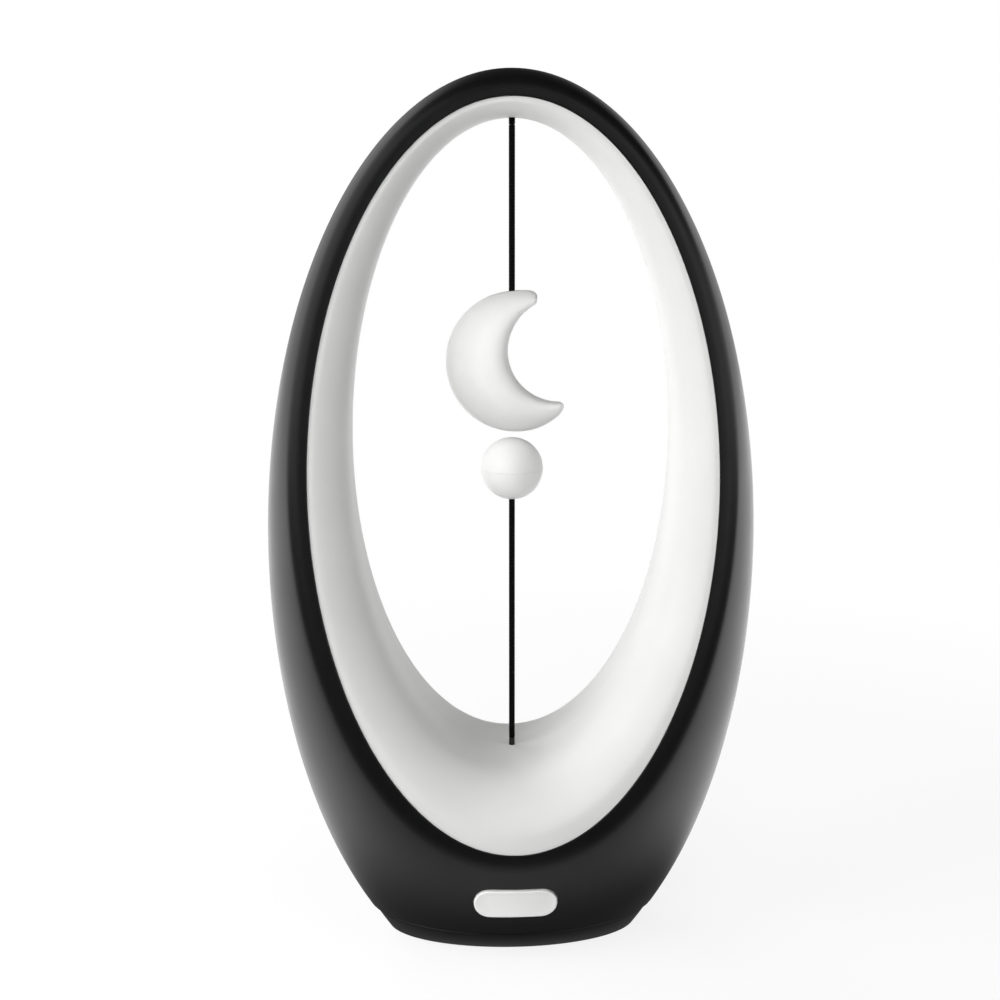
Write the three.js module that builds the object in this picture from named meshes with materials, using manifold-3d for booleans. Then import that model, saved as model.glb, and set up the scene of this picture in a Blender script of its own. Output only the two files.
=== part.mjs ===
// Magnetic balance lamp. An egg-shaped hoop stands on a weighted foot. A crescent moon hangs in it on
// one string and a ball stands under the moon on another, held up by magnets. Pulling the ball up
// to the moon works the pull switch. Millimetres, +Z up, the front faces -Y, and the origin is on the
// table under the middle of the foot.

import * as THREE from 'three';
import { mergeVertices } from 'three/addons/utils/BufferGeometryUtils.js';
import Module from 'manifold-3d';

const wasm = await Module();
wasm.setup();

// Driving sizes of the hoop
const lampHeight = 245;
const bodyHalfWidth = 68.2;
const bodyHalfDepth = 38.9;
const widestHeight = 114;
const lowerHalfHeight = 133.5;
const shellWall = 1.8;
const seamHeight = 9;

// Front opening: a sharp crease, then a flat land, then the edge of the white lining
const creaseSideMargin = 9.2;
const creaseTopMargin = 3.7;
const creaseBottomHeight = 32.3;
const landWidth = 4;
const lipThickness = 1;
const rebateWidth = 2.2;

// White lining that glows, narrowest at its waist in the middle plane
const hoopSideThickness = 24.05;
const hoopTopThickness = 12.65;
const waistBottomHeight = 56.35;
const diffuserWall = 1.5;
const floorRoundnessShare = 3;
const ceilingRoundnessShare = 1.95;

// Foot
const footHalfWidth = 36;
const footHalfDepth = 15.5;
const footCurlShare = 0.58;
const baseFloor = 3.2;
const padThickness = 1;
const padRecess = 0.5;
const padMargin = 2.5;

// Clearances
const fitGap = 0.3;
const slideGap = 0.3;
const overrun = 4;
const weldReach = 1e-4;
const leastEdge = 0.3;

// Light strip in the hoop
const stripSetback = 4.4;
const carrierWidth = 6;
const carrierWall = 1.2;
const stripWidth = 5;
const stripThickness = 0.4;
const chipLength = 3.5;
const chipWidth = 2.8;
const chipHeight = 0.8;
const chipCount = 24;
const stripStartAngle = -50;
const leadRadius = 0.8;
const leadBendShares = [0.2, 0.5, 0.8];

// Circuit board and what it carries
const boardHeight = 17;
const boardThickness = 1.6;
const boardHalfWidth = 23;
const boardFrontGap = 0.8;
const postX = 18.5;
const postY = 13;
const postRadius = 2.6;
const bossX = 25;
const bossY = 6.5;
const bossRadius = 3;
const bossTop = 16.5;
const bossRib = 2;
const weightHalfLength = 22;
const weightHalfDepth = 9.5;
const weightThickness = 11;
const weightRise = 0.4;
const weightScrewX = 14;
const driverLength = 6;
const driverHeight = 1.6;
const plugLength = 7;
const plugHeight = 4.5;
const plugX = 15;
const plugY = 4;

// Screws
const screwRadius = 1;
const headRadius = 1.9;
const headHeight = 1.2;
const headCrownShare = 0.8;
const smallScrewLength = 5;
const baseScrewLength = 12;

// Mode button, a pill in the front of the foot
const buttonHalfWidth = 11.6;
const buttonHalfHeight = 4.6;
const buttonEndRound = 3.8;
const buttonHeight = 20.7;
const buttonProud = 1;
const buttonDomeShares = [[0.35, 1], [0.7, 0.94], [0.9, 0.78], [1, 0.35]];
const buttonGap = 0.25;
const buttonFlange = 1;
const buttonFloat = 0.7;
const buttonTravel = 0.8;
const wallSlantShare = 1.06;
const tactWidth = 7;
const tactDepth = 4.5;
const tactHeight = 4.4;
const tactRadius = 1.5;
const tactReach = 1.6;

// USB-C socket in the back of the foot
const socketHalfWidth = 4.5;
const socketHalfHeight = 1.6;
const socketWall = 0.35;
const socketDepth = 7.4;
const socketInset = 0.9;
const tongueHalfWidth = 3.3;
const tongueThickness = 0.7;

// Strings, knots and the pull switch
const cordRadius = 0.85;
const knotRadius = 1;
const upperPivotDrop = 0.45;
const lowerPivotRise = 3.3;
const pullTravel = 2;
const columnHalfWidth = 9.5;
const columnHalfDepth = 5.5;
const columnWall = 1.6;
const columnTop = 3.6;
const columnEar = 5;
const collarRadius = 2.8;
const collarThickness = 1.5;
const collarRoom = 2.9;
const tipRadius = 1.2;
const springRadius = 2.3;
const springWire = 0.3;
const springTurns = 7;
const switchLength = 12.8;
const switchDepth = 5.8;
const switchHeight = 6.5;
const switchLeft = 7.4;
const leverPivotX = 6.2;
const leverPivotRise = 0.9;
const leverReach = 10.4;
const leverWidth = 3;
const leverThickness = 0.4;
const leverHub = 0.7;
const leverAngle = 20;
const leverGap = 0.45;
const anchorRadius = 2.2;
const anchorHeight = 1.8;

// Ball and moon
const ballRadius = 8.7;
const lowerCordLength = 69.8;
const magnetRadius = 3.5;
const magnetThickness = 3;
const magnetCover = 1.6;
const magnetGap = 1.7;
const moonMagnetRise = 1.6;
const knotDepth = 4;
const moonRadius = 19.3;
const moonShift = 1.2;
const moonHollowRadius = 14.3;
const moonHollowShift = 12;
const moonHollowRise = 3.05;
const moonThickness = 14.4;
const moonTipThickness = 4.4;
const moonUpperTipAngle = 113.5;
const moonUpperTipRound = 5;
const moonLowerTipAngle = 275;
const moonLowerTipRound = 8;
const moonTipShares = [0.04, 0.25, 0.6];
const moonCrownShare = 0.86;
const moonRidgeShare = 0.42;

// Facet counts
const hoopSteps = 48;
const skinSteps = 5;
const liningSteps = 6;
const planSteps = 36;
const bowlLevels = 4;
const insideLevels = 8;
const roundSteps = 20;
const moonSides = 16;
const moonSteps = 14;
const smallSteps = 10;
const screwSteps = 8;
const tipSteps = 3;
const cordSides = 8;
const springSides = 5;
const turnSteps = 8;

const colours = {
  black: 0x1b1b1d,
  white: 0xf2f2f0,
  board: 0x1f5a36,
  steel: 0xa9adb2,
  rubber: 0x26262a,
  copper: 0xb87a4a,
};

// Derived places
const upperHalfHeight = lampHeight - widestHeight;
const creaseHalfWidth = bodyHalfWidth - creaseSideMargin;
const creaseHalfHeight = (lampHeight - creaseTopMargin - creaseBottomHeight) / 2;
const creaseCentre = creaseBottomHeight + creaseHalfHeight;
const waistHalfWidth = bodyHalfWidth - hoopSideThickness;
const waistTop = lampHeight - hoopTopThickness;
const waistHalfHeight = (waistTop - waistBottomHeight) / 2;
const waistCentre = waistBottomHeight + waistHalfHeight;
const seamShare = Math.sqrt(1 - ((seamHeight - widestHeight) / lowerHalfHeight) ** 2);
const seamHalfWidth = bodyHalfWidth * seamShare;
const seamHalfDepth = bodyHalfDepth * seamShare;
const floorTop = padRecess + baseFloor;
const lowerSeat = padThickness + 2 * fitGap + headHeight;
const baseTop = seamHeight - fitGap / 2;
const weightBottom = floorTop + weightRise + fitGap;
const boardTop = boardHeight + boardThickness;
const lowerPivot = waistBottomHeight + lowerPivotRise;
const upperPivot = waistTop - upperPivotDrop;
const ballCentre = lowerPivot + lowerCordLength + ballRadius;
const moonCentre = ballCentre + ballRadius + magnetGap + moonRadius;
const ballKnot = ballCentre - ballRadius + knotDepth;
const ballMagnetTop = ballCentre + ballRadius - magnetCover;
const moonSurface = moonCentre + Math.sqrt(moonRadius ** 2 - moonShift ** 2);
const moonKnot = moonSurface - knotDepth;

// The egg: how deep its skin is in front of the middle plane, at a place seen from the front
function skinDepth(x, z) {
  const halfHeight = z > widestHeight ? upperHalfHeight : lowerHalfHeight;
  const inside = 1 - (x / bodyHalfWidth) ** 2 - ((z - widestHeight) / halfHeight) ** 2;
  return bodyHalfDepth * Math.sqrt(Math.max(inside, 0));
}

const wallAcross = shellWall * wallSlantShare;
const buttonReach = wallAcross + buttonFloat + buttonFlange + buttonTravel;
const boardHalfDepth = skinDepth(0, buttonHeight - buttonHalfHeight) - buttonReach - boardFrontGap;

// Turning a geometry into a solid and back

function asSolid(geometry) {
  const bare = geometry.index ? geometry.toNonIndexed() : geometry.clone();
  for (const name of Object.keys(bare.attributes)) {
    if (name !== 'position') bare.deleteAttribute(name);
  }
  const merged = mergeVertices(bare, weldReach);
  const places = merged.attributes.position;
  const corners = [];
  for (let i = 0; i < merged.index.count; i += 3) {
    const [a, b, c] = [0, 1, 2].map((k) => merged.index.getX(i + k));
    if (a !== b && b !== c && c !== a) corners.push(a, b, c);
  }
  if (signedVolume(places, corners) < 0) corners.reverse();
  return new wasm.Manifold(new wasm.Mesh({
    numProp: 3,
    vertProperties: new Float32Array(places.array),
    triVerts: new Uint32Array(corners),
  }));
}

function signedVolume(places, corners) {
  const [a, b, c] = [new THREE.Vector3(), new THREE.Vector3(), new THREE.Vector3()];
  let sum = 0;
  for (let i = 0; i < corners.length; i += 3) {
    a.fromBufferAttribute(places, corners[i]);
    b.fromBufferAttribute(places, corners[i + 1]);
    c.fromBufferAttribute(places, corners[i + 2]);
    sum += a.dot(b.cross(c));
  }
  return sum;
}

function asGeometry(solid) {
  const cut = solid.getMesh();
  const geometry = new THREE.BufferGeometry();
  geometry.setAttribute('position', new THREE.BufferAttribute(cut.vertProperties, cut.numProp));
  geometry.setIndex(new THREE.BufferAttribute(cut.triVerts, 1));
  geometry.computeVertexNormals();
  return geometry;
}

// Building blocks

function ringCentre(ring) {
  const sum = ring.reduce((total, point) => total.add(point), new THREE.Vector3());
  return sum.divideScalar(ring.length);
}

// A skin through rings of points. A closed loft joins its last ring to its first; an open one is
// capped with a fan about the hub of each end ring.
function loft(rings, { closed = false, hub = ringCentre } = {}) {
  const count = rings[0].length;
  const points = rings.flat();
  const corners = [];
  const spans = closed ? rings.length : rings.length - 1;
  for (let i = 0; i < spans; i += 1) {
    const here = i * count;
    const there = ((i + 1) % rings.length) * count;
    for (let j = 0; j < count; j += 1) {
      const k = (j + 1) % count;
      corners.push(here + j, here + k, there + k, here + j, there + k, there + j);
    }
  }
  if (!closed) {
    const last = (rings.length - 1) * count;
    points.push(hub(rings[0]), hub(rings[rings.length - 1]));
    for (let j = 0; j < count; j += 1) {
      const k = (j + 1) % count;
      corners.push(k, j, points.length - 2);
      corners.push(last + j, last + k, points.length - 1);
    }
  }
  const geometry = new THREE.BufferGeometry().setFromPoints(points);
  geometry.setIndex(corners);
  return asSolid(geometry);
}

function block(x1, x2, y1, y2, z1, z2) {
  const geometry = new THREE.BoxGeometry(x2 - x1, y2 - y1, z2 - z1);
  geometry.translate((x1 + x2) / 2, (y1 + y2) / 2, (z1 + z2) / 2);
  return asSolid(geometry);
}

// A turned piece: pairs of radius and height, about an upright axis at (x, y)
function turned(profile, x = 0, y = 0, steps = smallSteps) {
  const geometry = new THREE.LatheGeometry(profile.map(([r, z]) => new THREE.Vector2(r, z)), steps);
  geometry.rotateX(Math.PI / 2);
  geometry.translate(x, y, 0);
  return asSolid(geometry);
}

function rod(radius, bottom, top, x = 0, y = 0, steps = smallSteps) {
  return turned([[0, bottom], [radius, bottom], [radius, top], [0, top]], x, y, steps);
}

function sphere(radius, height, x = 0, y = 0, wide = smallSteps, tall = smallSteps / 2) {
  const geometry = new THREE.SphereGeometry(radius, wide, tall);
  geometry.rotateX(Math.PI / 2);
  geometry.translate(x, y, height);
  return asSolid(geometry);
}

// A rod along Y, for pins and bores that cross the lamp
function crossRod(radius, front, back, x, z, steps = smallSteps) {
  const geometry = new THREE.CylinderGeometry(radius, radius, back - front, steps);
  geometry.translate(x, (front + back) / 2, z);
  return asSolid(geometry);
}

function plate(shape, bottom, thickness, curveSteps = smallSteps) {
  const geometry = new THREE.ExtrudeGeometry(shape, {
    depth: thickness,
    bevelEnabled: false,
    curveSegments: curveSteps,
  });
  geometry.translate(0, 0, bottom);
  return asSolid(geometry);
}

function tube(path, radius, sides, steps) {
  const outline = [];
  for (let i = 0; i < sides; i += 1) {
    const turn = (i / sides) * 2 * Math.PI;
    outline.push(new THREE.Vector2(radius * Math.cos(turn), radius * Math.sin(turn)));
  }
  const geometry = new THREE.ExtrudeGeometry(new THREE.Shape(outline), { steps, extrudePath: path });
  return asSolid(geometry);
}

function uprightTube(radius, bottom, top) {
  const path = new THREE.LineCurve3(new THREE.Vector3(0, 0, bottom), new THREE.Vector3(0, 0, top));
  const steps = Math.ceil((top - bottom) / (6 * radius));
  return tube(path, radius, cordSides, steps);
}

// Both distances along a ray, in the XZ plane, to an ellipse
function rayToEllipse(start, way, halfWidth, halfHeight, centre) {
  const sx = start.x / halfWidth;
  const sz = (start.y - centre) / halfHeight;
  const dx = way.x / halfWidth;
  const dz = way.y / halfHeight;
  const a = dx * dx + dz * dz;
  const b = sx * dx + sz * dz;
  const root = Math.sqrt(b * b - a * (sx * sx + sz * sz - 1));
  return [(-b - root) / a, (-b + root) / a];
}

// One cut through the hoop, square to the crease at this angle. Distances run outwards from the rim,
// which is the inner edge of the land.
function station(degrees) {
  const turn = THREE.MathUtils.degToRad(degrees);
  const crease = new THREE.Vector2(
    creaseHalfWidth * Math.cos(turn),
    creaseCentre + creaseHalfHeight * Math.sin(turn),
  );
  const out = new THREE.Vector2(Math.cos(turn) / creaseHalfWidth, Math.sin(turn) / creaseHalfHeight);
  out.normalize();
  const rim = crease.clone().addScaledVector(out, -landWidth);
  const upper = rayToEllipse(rim, out, bodyHalfWidth, upperHalfHeight, widestHeight)[1];
  const lower = rayToEllipse(rim, out, bodyHalfWidth, lowerHalfHeight, widestHeight)[1];
  const edge = rim.y + out.y * upper > widestHeight ? upper : lower;
  const inward = out.clone().negate();
  const waist = rayToEllipse(rim, inward, waistHalfWidth, waistHalfHeight, waistCentre)[0];
  const highShare = (1 + Math.sin(turn)) / 2;
  const roundness = floorRoundnessShare * (1 - highShare) + ceilingRoundnessShare * highShare;
  return { rim, out, edge, waist, roundness, depth: skinDepth(crease.x, crease.y) };
}

function place(cut, distance, y) {
  return new THREE.Vector3(cut.rim.x + cut.out.x * distance, y, cut.rim.y + cut.out.y * distance);
}

// A line of [distance, depth] points moved sideways by a wall's thickness, to its left
function offsetLine(line, wall) {
  return line.map(([r, y], i) => {
    const [pr, py] = line[Math.max(i - 1, 0)];
    const [nr, ny] = line[Math.min(i + 1, line.length - 1)];
    const before = new THREE.Vector2(r - pr, y - py).normalize();
    const after = new THREE.Vector2(nr - r, ny - y).normalize();
    if (before.length() === 0) before.copy(after);
    if (after.length() === 0) after.copy(before);
    const normal = new THREE.Vector2(-before.y - after.y, before.x + after.x).normalize();
    const reach = wall / normal.dot(new THREE.Vector2(-before.y, before.x));
    return [r + normal.x * reach, y + normal.y * reach];
  });
}

// Black shell: from the parting plane over the egg's skin to the crease, and along the land
function shellLine(cut) {
  const line = [];
  for (let i = 0; i <= skinSteps; i += 1) {
    const share = Math.sin(((skinSteps - i) / skinSteps) * (Math.PI / 2));
    const r = landWidth + (cut.edge - landWidth) * share;
    const spot = place(cut, r, 0);
    line.push([r, Math.max(skinDepth(spot.x, spot.z), fitGap / 2)]);
  }
  line.push([0, cut.depth]);
  return line;
}

function shellSection(cut) {
  const outside = shellLine(cut);
  const inside = offsetLine(outside, shellWall).slice(0, -1).reverse();
  inside[inside.length - 1][1] = fitGap / 2;
  const rebate = [
    [0, cut.depth - lipThickness],
    [rebateWidth, cut.depth - lipThickness],
    [rebateWidth, cut.depth - shellWall],
  ];
  return [...outside, ...rebate, ...inside];
}

// White lining: from its waist in the middle plane to a lip behind the shell's rim
function liningLine(cut) {
  const depth = cut.depth - lipThickness - fitGap;
  const line = [];
  for (let i = 0; i <= liningSteps; i += 1) {
    const turn = (i / liningSteps) * (Math.PI / 2);
    const r = -cut.waist * Math.cos(turn) ** (2 / cut.roundness);
    line.push([r, Math.max(depth * Math.sin(turn) ** (2 / cut.roundness), fitGap / 2)]);
  }
  line.push([rebateWidth - fitGap, depth]);
  return line;
}

function liningSection(cut) {
  const outside = liningLine(cut);
  const inside = offsetLine(outside, -diffuserWall).reverse();
  inside[inside.length - 1][1] = fitGap / 2;
  return [...outside, ...inside];
}

// A half hoop in front of the middle plane (side -1) or behind it (side 1)
function halfHoop(section, side) {
  const rings = [];
  for (let i = 0; i < hoopSteps; i += 1) {
    const cut = station((i / hoopSteps) * 360 - 90);
    rings.push(section(cut).map(([r, y]) => place(cut, r, side * y)));
  }
  return loft(rings, { closed: true });
}

// A plan ellipse at a height
function planRing(halfWidth, halfDepth, z) {
  const ring = [];
  for (let i = 0; i < planSteps; i += 1) {
    const turn = (i / planSteps) * 2 * Math.PI;
    ring.push(new THREE.Vector3(halfWidth * Math.cos(turn), halfDepth * Math.sin(turn), z));
  }
  return ring;
}

// The egg's inside, used to trim bosses and ribs to the shell wall
function eggInside(inset) {
  const rings = [];
  for (let i = 0; i <= insideLevels; i += 1) {
    const z = seamHeight - overrun + (i / insideLevels) * (creaseBottomHeight - seamHeight + overrun);
    const wide = Math.sqrt(1 - ((z - widestHeight) / lowerHalfHeight) ** 2);
    rings.push(planRing(bodyHalfWidth * wide - inset, bodyHalfDepth * wide - inset, z));
  }
  return loft(rings);
}

// Shells

function baseBosses(side) {
  let bosses = null;
  for (const x of [-bossX, bossX]) {
    const y = side * bossY;
    const wallY = side * bodyHalfDepth;
    const post = rod(bossRadius, seamHeight + fitGap / 2, bossTop, x, y);
    const rib = block(x - bossRib / 2, x + bossRib / 2, Math.min(y, wallY), Math.max(y, wallY),
      seamHeight + fitGap / 2, bossTop);
    const boss = post.add(rib);
    bosses = bosses ? bosses.add(boss) : boss;
  }
  return bosses.intersect(eggInside(shellWall / 2));
}

function shell(side) {
  const belowSeam = block(-bodyHalfWidth, bodyHalfWidth, -bodyHalfDepth, bodyHalfDepth,
    widestHeight - lowerHalfHeight - overrun, seamHeight + fitGap / 2);
  let body = halfHoop(shellSection, side).subtract(belowSeam).add(baseBosses(side));
  for (const x of [-bossX, bossX]) {
    const pilot = rod(screwRadius + slideGap, seamHeight - overrun, bossTop - shellWall, x, side * bossY);
    body = body.subtract(pilot);
  }
  return body;
}

function pillOutline(grow) {
  const shape = new THREE.Shape();
  const w = buttonHalfWidth + grow;
  const h = buttonHalfHeight + grow;
  const e = buttonEndRound + grow;
  shape.moveTo(-w + e, -h);
  shape.lineTo(w - e, -h);
  shape.absellipse(w - e, 0, e, h, -Math.PI / 2, Math.PI / 2, false, 0);
  shape.lineTo(-w + e, h);
  shape.absellipse(-w + e, 0, e, h, Math.PI / 2, 1.5 * Math.PI, false, 0);
  const points = shape.getPoints(smallSteps);
  return points.filter((point, i) => i === 0 || point.distanceTo(points[i - 1]) > leastEdge)
    .filter((point, i, all) => i === 0 || point.distanceTo(all[0]) > leastEdge);
}

function pillRing(grow, share, y) {
  return pillOutline(grow).map((point) => {
    const x = point.x * share;
    const z = buttonHeight + point.y * share;
    return new THREE.Vector3(x, y(x, z), z);
  });
}

function frontShell() {
  const hole = loft([
    pillRing(buttonGap, 1, () => -bodyHalfDepth),
    pillRing(buttonGap, 1, () => -boardHalfDepth + overrun),
  ]);
  return shell(-1).subtract(hole);
}

function socketOutline(grow) {
  const shape = new THREE.Shape();
  const w = socketHalfWidth + grow;
  const h = socketHalfHeight + grow;
  shape.moveTo(-w + h, -h);
  shape.absarc(w - h, 0, h, -Math.PI / 2, Math.PI / 2, false);
  shape.absarc(-w + h, 0, h, Math.PI / 2, 1.5 * Math.PI, false);
  return shape;
}

const socketHeight = boardTop + fitGap + socketHalfHeight;
const socketMouth = skinDepth(0, socketHeight) - socketInset;

// An outline drawn in X and Z, pushed along Y from front to back
function crossPlate(shape, front, back, z) {
  const geometry = new THREE.ExtrudeGeometry(shape, {
    depth: back - front,
    bevelEnabled: false,
    curveSegments: smallSteps / 2,
  });
  geometry.rotateX(Math.PI / 2);
  geometry.translate(0, back, z);
  return asSolid(geometry);
}

function rearShell() {
  return shell(1).subtract(crossPlate(socketOutline(fitGap), boardHalfDepth, bodyHalfDepth, socketHeight));
}

function diffuser(side) {
  const bore = rod(cordRadius + 2 * slideGap, waistBottomHeight - overrun, waistBottomHeight + overrun);
  const ceilingBore = rod(knotRadius + 2 * slideGap, waistTop - overrun, waistTop + overrun);
  return halfHoop(liningSection, side).subtract(bore).subtract(ceilingBore);
}

// Foot

// The foot's bowl, which curls in from the seam to the table
function bowl(inset, bottom, top) {
  const rings = [];
  for (let i = 0; i <= bowlLevels; i += 1) {
    const z = bottom + (i / bowlLevels) * (top - bottom);
    const down = (seamHeight - z) / seamHeight;
    const curled = (1 - footCurlShare) * down + footCurlShare * down * Math.abs(down);
    rings.push(planRing(
      seamHalfWidth - (seamHalfWidth - footHalfWidth) * down - inset,
      seamHalfDepth - (seamHalfDepth - footHalfDepth) * curled - inset,
      z,
    ));
  }
  return loft(rings);
}

function eachPost(action) {
  for (const x of [-postX, postX]) {
    for (const y of [-postY, postY]) action(x, y);
  }
}

function eachBoss(action) {
  for (const x of [-bossX, bossX]) {
    for (const y of [-bossY, bossY]) action(x, y);
  }
}

function baseCover() {
  let body = bowl(0, padRecess, baseTop).subtract(bowl(shellWall, floorTop, baseTop + fitGap));
  eachPost((x, y) => {
    const post = rod(postRadius, padRecess + baseFloor / 2, boardHeight - fitGap, x, y);
    const pilot = rod(screwRadius + slideGap, floorTop + overrun, boardHeight + overrun, x, y);
    body = body.add(post).subtract(pilot);
  });
  eachBoss((x, y) => {
    const post = rod(bossRadius, padRecess + baseFloor / 2, baseTop, x, y);
    const way = rod(screwRadius + slideGap, -overrun, baseTop + overrun, x, y);
    const sink = rod(headRadius + slideGap, -overrun, lowerSeat + fitGap, x, y);
    body = body.add(post.intersect(bowl(0, padRecess, baseTop))).subtract(way).subtract(sink);
  });
  for (const x of [-weightScrewX, weightScrewX]) {
    const pad = rod(postRadius, padRecess + baseFloor / 2, floorTop + weightRise, x, 0);
    const way = rod(screwRadius + slideGap, -overrun, baseTop, x, 0);
    const sink = rod(headRadius + slideGap, -overrun, lowerSeat + fitGap, x, 0);
    body = body.add(pad).subtract(way).subtract(sink);
  }
  return body.subtract(footPadSolid(fitGap));
}

function footPadSolid(grow) {
  const ring = (z) => planRing(footHalfWidth - padMargin + grow, footHalfDepth - padMargin + grow, z);
  return loft([ring(0), ring(padThickness + grow)]);
}

// Counterweight, on two low pads of the base cover
function counterweight() {
  const shape = new THREE.Shape();
  const straight = weightHalfLength - weightHalfDepth;
  shape.moveTo(-straight, -weightHalfDepth);
  shape.absarc(straight, 0, weightHalfDepth, -Math.PI / 2, Math.PI / 2, false);
  shape.absarc(-straight, 0, weightHalfDepth, Math.PI / 2, 1.5 * Math.PI, false);
  let body = plate(shape, weightBottom, weightThickness, smallSteps);
  for (const x of [-weightScrewX, weightScrewX]) {
    const pilot = rod(screwRadius + slideGap, weightBottom - overrun, weightBottom + smallScrewLength, x, 0);
    body = body.subtract(pilot);
  }
  return body;
}

// A round-head screw with a drive recess. Way 1 drives it upwards, way -1 downwards, from its seat.
function screw(x, y, seat, length, way) {
  const recess = headHeight / 2;
  return turned([
    [0, seat + way * length],
    [screwRadius, seat + way * (length - screwRadius)],
    [screwRadius, seat],
    [headRadius, seat],
    [headRadius * headCrownShare, seat - way * headHeight],
    [headRadius / 2, seat - way * headHeight],
    [0, seat - way * recess],
  ], x, y, screwSteps);
}

// Circuit board, cut to the foot's plan

function board() {
  const widest = boardHalfWidth / seamHalfWidth;
  const turn = Math.acos(widest);
  const shape = new THREE.Shape();
  shape.absellipse(0, 0, seamHalfWidth, boardHalfDepth, turn, Math.PI - turn, false, 0);
  shape.absellipse(0, 0, seamHalfWidth, boardHalfDepth, Math.PI + turn, 2 * Math.PI - turn, false, 0);
  let body = plate(shape, boardHeight, boardThickness, smallSteps);
  eachPost((x, y) => {
    body = body.subtract(rod(screwRadius + slideGap, boardHeight - overrun, boardTop + overrun, x, y));
  });
  for (const x of [-earScrewX, earScrewX]) {
    body = body.subtract(rod(screwRadius + slideGap, boardHeight - overrun, boardTop + overrun, x, 0));
  }
  return body;
}

const earScrewX = columnHalfWidth + columnEar / 2;

function driverChip() {
  const y = boardHalfDepth / 2;
  return block(-driverLength / 2, driverLength / 2, y - driverLength / 2, y + driverLength / 2,
    boardTop + fitGap, boardTop + fitGap + driverHeight);
}

function leadPlug() {
  const shape = new THREE.Shape();
  const half = plugLength / 2;
  shape.moveTo(plugX, plugY);
  shape.lineTo(plugX + half, plugY);
  shape.lineTo(plugX + half, plugY + plugLength);
  shape.lineTo(plugX, plugY + plugLength);
  return plate(shape, boardTop + fitGap, plugHeight);
}

function usbShell() {
  const outside = crossPlate(socketOutline(0), socketMouth - socketDepth, socketMouth, socketHeight);
  const inside = crossPlate(socketOutline(-socketWall), socketMouth - socketDepth + socketWall,
    socketMouth + overrun, socketHeight);
  return outside.subtract(inside);
}

function usbTongue() {
  const back = socketMouth - socketDepth + socketWall + fitGap;
  const blade = block(-tongueHalfWidth, tongueHalfWidth, back, socketMouth - socketInset,
    socketHeight - tongueThickness / 2, socketHeight + tongueThickness / 2);
  const root = crossPlate(socketOutline(-socketWall - fitGap), back, back + 2 * tongueThickness, socketHeight);
  return blade.add(root);
}

// Mode button: a domed pill that follows the egg's skin, with a flange inside and a stem to the switch

const flangeFront = (x, z) => -skinDepth(x, z) + wallAcross + buttonFloat;
const flangeBack = (x, z) => flangeFront(x, z) + buttonFlange;
const stemBack = flangeBack(0, buttonHeight) + 1.5 * buttonFlange;
const plungerBack = stemBack + fitGap + tactReach + buttonTravel;
const tactFront = stemBack + fitGap + tactReach;
const tactTop = buttonHeight + tactHeight / 2;

function modeButton() {
  const skin = (x, z) => -skinDepth(x, z);
  const raised = (share) => (x, z) => skin(x, z) - buttonProud * share;
  const rings = buttonDomeShares.map(([size, rise]) => pillRing(0, size, raised(rise)));
  const neck = pillRing(0, 1, flangeFront);
  rings.push(neck, pillRing(buttonFlange, 1, flangeFront), pillRing(buttonFlange, 1, flangeBack));
  const stem = crossRod(tactRadius, flangeBack(0, buttonHeight) - buttonFlange / 2, stemBack, 0, buttonHeight);
  return loft(rings).add(stem);
}

function tactSwitch() {
  const body = block(-tactWidth / 2, tactWidth / 2, tactFront, tactFront + tactDepth,
    boardTop + fitGap, tactTop);
  const bore = crossRod(tactRadius + slideGap, tactFront - overrun, plungerBack + buttonTravel + slideGap,
    0, buttonHeight);
  return body.subtract(bore);
}

function tactPlunger() {
  return crossRod(tactRadius, stemBack + fitGap, plungerBack, 0, buttonHeight);
}

// Pull switch: a column on the board that guides the rod, its return spring and a lever switch

const columnBottom = boardTop + fitGap;
const columnRoof = waistBottomHeight - diffuserWall - fitGap;
const roofUnderside = columnRoof - columnTop;

function switchColumn() {
  const outside = block(-columnHalfWidth, columnHalfWidth, -columnHalfDepth, columnHalfDepth,
    columnBottom, columnRoof);
  const room = block(-columnHalfWidth + columnWall, columnHalfWidth - columnWall,
    -columnHalfDepth + columnWall, columnHalfDepth + overrun, columnBottom - overrun, roofUnderside);
  const bore = rod(cordRadius + slideGap, roofUnderside - overrun, columnRoof + overrun);
  let body = outside.subtract(room).subtract(bore);
  for (const way of [-1, 1]) {
    const inner = way * (columnHalfWidth - columnWall / 2);
    const outer = way * (columnHalfWidth + columnEar);
    const ear = block(Math.min(inner, outer), Math.max(inner, outer), -columnEar / 2, columnEar / 2,
      columnBottom, columnBottom + columnWall);
    const hole = rod(screwRadius + slideGap, columnBottom - overrun, columnBottom + overrun,
      way * earScrewX, 0);
    body = body.add(ear).subtract(hole);
  }
  return body;
}

const switchTop = columnBottom + switchHeight;
const leverPivot = switchTop + leverPivotRise;
const leverTilt = THREE.MathUtils.degToRad(leverAngle);
const leverAtRod = leverPivot + leverPivotX * Math.tan(leverTilt) + leverThickness / 2 / Math.cos(leverTilt);
const rodTip = leverAtRod + leverGap;
const leverTop = leverPivot + leverReach * Math.sin(leverTilt) + leverThickness;
const collarHeight = leverTop + pullTravel + collarRoom;

function microSwitch() {
  const body = block(-switchLeft, switchLength - switchLeft, -switchDepth / 2, switchDepth / 2,
    columnBottom, switchTop);
  const pin = rod(leverHub, switchTop - leverHub, switchTop + leverPivotRise / 2, -leverHub);
  let all = body.add(pin);
  for (const way of [-1, 1]) {
    const inner = way * (leverWidth / 2 + slideGap);
    const outer = way * (switchDepth / 2);
    const lug = block(-leverPivotX - leverHub, -leverPivotX + leverHub, Math.min(inner, outer),
      Math.max(inner, outer), switchTop - leverHub, leverPivot + leverHub);
    all = all.add(lug);
  }
  return all;
}

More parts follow.
